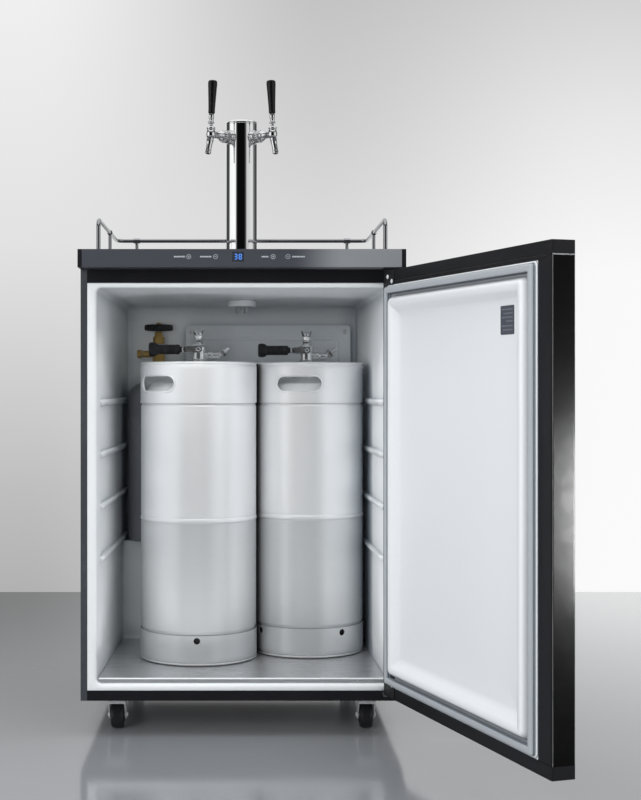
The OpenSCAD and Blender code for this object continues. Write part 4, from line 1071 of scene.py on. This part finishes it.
def bar(x0, z0, x1, z1):
    """Small printed rectangle on the fascia, a hair proud of it."""
    return slab(round_rect(x0, z0, x1, z1, 0.2, 2), FASCIA - 0.25, FASCIA + 0.2, "y", 0.05)


def hoop(x, z, r, w=0.7):
    """Printed ring on the fascia, of width w inside radius r."""
    rows = [np.insert(circle(r - d, 24) + (x, z), 1, FASCIA + h, axis=1)
            for d, h in ((0, 0.2), (0, -0.25), (w, -0.25), (w, 0.2))]
    return woven(np.array(rows), around=True, along=True)


def touch_print():
    """Plain pictograms beside short word-like blocks of dots: cooling, lamp, up and down."""
    z, parts = DECK + 19, []
    for x0, width in ((-124, 18), (-76, 20), (36, 13), (92, 22)):
        for x in np.arange(x0, x0 + width, 2.6):
            parts.append(bar(x, z - 1.3, x + 1.9, z + 1.3))
    for x in (-97, -48, 57, 84):
        parts.append(hoop(x, z, 4.2))
    parts += [bar(-97.4, z - 1.8, -96.6, z + 1.8), bar(-98.8, z - 0.4, -95.2, z + 0.4),
              bar(-50, z - 0.4, -46, z + 0.4), bar(55.4, z - 0.4, 58.6, z + 0.4),
              bar(56.6, z - 1.6, 57.4, z + 1.6), bar(82.4, z - 0.4, 85.6, z + 0.4),
              bar(-106, z - 2.6, -105.3, z + 2.6), bar(-108.2, z - 0.4, -103, z + 0.4)]
    piece("touch_print", parts, "cabinet", "fascia_face", PRINT)


def lit_digits():
    """Two seven-stroke digits on the lens, showing 38."""
    lo, hi = box_mm("display_window")
    x, z = (lo[0] + hi[0]) / 2, (lo[2] + hi[2]) / 2
    strokes = {"a": (-1.7, 4, 1.7, 5), "g": (-1.7, -0.5, 1.7, 0.5), "d": (-1.7, -5, 1.7, -4),
               "b": (1.7, 0.6, 2.7, 4.3), "c": (1.7, -4.3, 2.7, -0.6), "f": (-2.7, 0.6, -1.7, 4.3),
               "e": (-2.7, -4.3, -1.7, -0.6)}
    parts = []
    for shift, lit in ((-4.2, "abgcd"), (4.2, "abcdefg")):
        for key in lit:
            x0, z0, x1, z1 = strokes[key]
            parts.append(bar(x + shift + x0, z + z0, x + shift + x1, z + z1))
    piece("lit_digits", parts, "cabinet", "display_lens", DIGITS)


touch_print()
lit_digits()


# ------------------------------------------------------------------ studio

def stage_plane(name, corners, material):
    """One flat face of the stage."""
    mesh = bpy.data.meshes.new(name)
    mesh.from_pydata(corners, [], [(0, 1, 2, 3)])
    mesh.materials.append(material)
    obj = bpy.data.objects.new(name, mesh)
    bpy.context.scene.collection.objects.link(obj)


def ramp(tree, value, stops):
    """Grey ramp through (place, value) stops, read by a number from 0 to 1."""
    node = tree.nodes.new("ShaderNodeValToRGB")
    tree.links.new(value, node.inputs["Fac"])
    elements = node.color_ramp.elements
    while len(elements) < len(stops):
        elements.new(0.5)
    for element, (at, grey) in zip(elements, stops):
        element.position = at
        element.color = (grey, grey, grey, 1.0)
    return node.outputs["Color"]


def backdrop():
    """Paper wall lit unevenly: three upright ramps blended sideways; it vanishes from behind."""
    material = bpy.data.materials.new("backdrop")
    material.use_nodes = True
    tree = material.node_tree
    tree.nodes.clear()
    place = separate(tree, tree.nodes.new("ShaderNodeTexCoord").outputs["Object"])
    height = map_range(tree, place["Z"], 0.0, 2.0)
    height.node.interpolation_type = "LINEAR"
    left = ramp(tree, height, [(0.0, 0.44), (0.15, 0.51), (0.55, 0.76), (0.95, 0.87)])
    middle = ramp(tree, height, [(0.0, 0.80), (0.4, 0.78), (0.75, 0.62), (0.95, 0.54)])
    right = ramp(tree, height, [(0.0, 0.96), (0.5, 0.95), (0.75, 0.80), (0.95, 0.64)])
    blend = mix_colors(tree, map_range(tree, place["X"], -0.7, 0.3), left, middle)
    blend = mix_colors(tree, map_range(tree, place["X"], 0.2, 1.2), blend, right)
    glow = tree.nodes.new("ShaderNodeEmission")
    tree.links.new(blend, glow.inputs["Color"])
    clear = tree.nodes.new("ShaderNodeBsdfTransparent")
    behind = tree.nodes.new("ShaderNodeNewGeometry").outputs["Backfacing"]
    both = tree.nodes.new("ShaderNodeMixShader")
    tree.links.new(behind, both.inputs[0])
    tree.links.new(glow.outputs[0], both.inputs[1])
    tree.links.new(clear.outputs[0], both.inputs[2])
    out = tree.nodes.new("ShaderNodeOutputMaterial")
    tree.links.new(both.outputs[0], out.inputs["Surface"])
    left_x, right_x, y, top = -1.6, 2.1, 1.573, 3
    stage_plane("backdrop", [(left_x, y, 0), (right_x, y, 0), (right_x, y, top), (left_x, y, top)],
                material)


def studio_floor():
    """Polished floor with painted light and shade: painted shade far left, painted light far right, even near the
    camera, with faint scuffs.
    """
    f = Finish("studio_floor", (0.25, 0.262, 0.278), 0.11, IOR=1.65)
    far = map_range(f.tree, f.at("Y"), -0.7, 1.5)
    right = math_node(f.tree, "MULTIPLY", map_range(f.tree, f.at("X"), 0.2, 1.2), far)
    left = math_node(f.tree, "MULTIPLY", map_range(f.tree, f.at("X"), 0.2, -0.9), far)
    # Painted light towards the far right and painted shade towards the far left.
    f.tint(right, (0.62, 0.63, 0.64)).tint(left, (0.012, 0.014, 0.018)).handled(1.2, 0.05)
    reach = 9
    stage_plane("floor", [(-reach, -reach, 0), (reach, -reach, 0), (reach, reach, 0), (-reach, reach, 0)],
                f.material)


def studio_world():
    """Cards round the stage: dark ahead, a white strip at each side, mid grey behind, soft top."""
    world = bpy.data.worlds.new("studio")
    bpy.context.scene.world = world
    world.use_nodes = True
    tree = world.node_tree
    aim = separate(tree, tree.nodes.new("ShaderNodeTexCoord").outputs["Generated"])
    angle = math_node(tree, "ARCTAN2", aim["X"], math_node(tree, "MULTIPLY", aim["Y"], -1.0))
    turn = math_node(tree, "ADD", math_node(tree, "DIVIDE", angle, 2 * math.pi), 0.5)
    stops = [(-180, 0.34), (-152, 0.36), (-138, 0.12), (-114, 0.045), (-97, 0.10), (-90, 1.1), (-46, 1.15),
             (-37, 0.06), (-30, 0.004), (16, 0.004), (26, 0.05), (36, 0.70), (78, 0.85), (90, 0.20),
             (112, 0.05), (136, 0.12), (152, 0.34)]
    cards = ramp(tree, turn, [((a + 180) / 360, g) for a, g in stops])
    top = ramp(tree, map_range(tree, aim["Z"], -1.0, 1.0),
               [(0.0, 0.35), (0.28, 0.06), (0.72, 0.06), (0.90, 0.10), (0.95, 1.0), (1.0, 1.0)])
    steep = math_node(tree, "ABSOLUTE", aim["Z"])
    color = mix_colors(tree, map_range(tree, steep, 0.36, 0.48), cards, top)
    cards_light = tree.nodes["Background"]
    tree.links.new(color, cards_light.inputs["Color"])
    seen = tree.nodes.new("ShaderNodeBackground")
    tree.links.new(ramp(tree, map_range(tree, aim["Z"], -0.2, 0.5), [(0.0, 0.50), (1.0, 0.72)]),
                   seen.inputs["Color"])
    either = tree.nodes.new("ShaderNodeMixShader")
    tree.links.new(tree.nodes.new("ShaderNodeLightPath").outputs["Is Camera Ray"], either.inputs[0])
    tree.links.new(cards_light.outputs[0], either.inputs[1])
    tree.links.new(seen.outputs[0], either.inputs[2])
    tree.links.new(either.outputs[0], tree.nodes["World Output"].inputs["Surface"])


def area_light(name, place, target, size, power, glossy=False, spread=180.0):
    """A rectangular light at a place, turned to a target; reflections show it only if glossy."""
    data = bpy.data.lights.new(name, "AREA")
    data.shape, data.size, data.size_y, data.energy = "RECTANGLE", size[0], size[1], power
    data.spread = math.radians(spread)
    light = bpy.data.objects.new(name, data)
    away = np.array(place) - np.array(target)
    light.location = place
    light.rotation_euler = (math.atan2(math.hypot(away[0], away[1]), away[2]), 0.0,
                            math.atan2(away[0], -away[1]))
    light.visible_glossy = glossy
    light.visible_camera = False
    bpy.context.scene.collection.objects.link(light)
    return light


backdrop()
studio_floor()
studio_world()
area_light("key", (-1.7, -2.9, 1.5), (0.0, 0.0, 0.5), (1.2, 1.2), 47.0)
area_light("front", (-0.35, -3.0, 0.75), (0.0, 0.0, 0.45), (0.8, 0.8), 17.0)
area_light("fill", (1.5, -2.8, 1.2), (0.1, 0.0, 0.5), (1.2, 1.6), 14.0)
area_light("top", (0.0, -0.6, 3.2), (0.0, -0.2, 0.8), (2.0, 1.6), 18.0)
area_light("rear", (-0.5, 3.4, 1.9), (0.0, 0.3, 0.6), (1.6, 1.2), 22.0)
area_light("doorway", (0.0, -0.245, 0.79), (0.0, -0.12, 0.2), (0.46, 0.05), 0.46, spread=115.0)
area_light("sill", (0.0, -0.255, 0.125), (0.0, -0.12, 0.6), (0.46, 0.04), 0.44, spread=130.0)
sheen = area_light("edge_sheen", (2.17, -1.92, 0.29), (0.475, -0.86, 0.47), (0.5, 0.42), 400.0, glossy=True)
sheen.visible_diffuse = False
door_edge = bpy.data.collections.new("door_edge")
door_edge.objects.link(NODES["door_shell"])
sheen.light_linking.receiver_collection = door_edge
bpy.context.scene.view_settings.view_transform = "Standard"
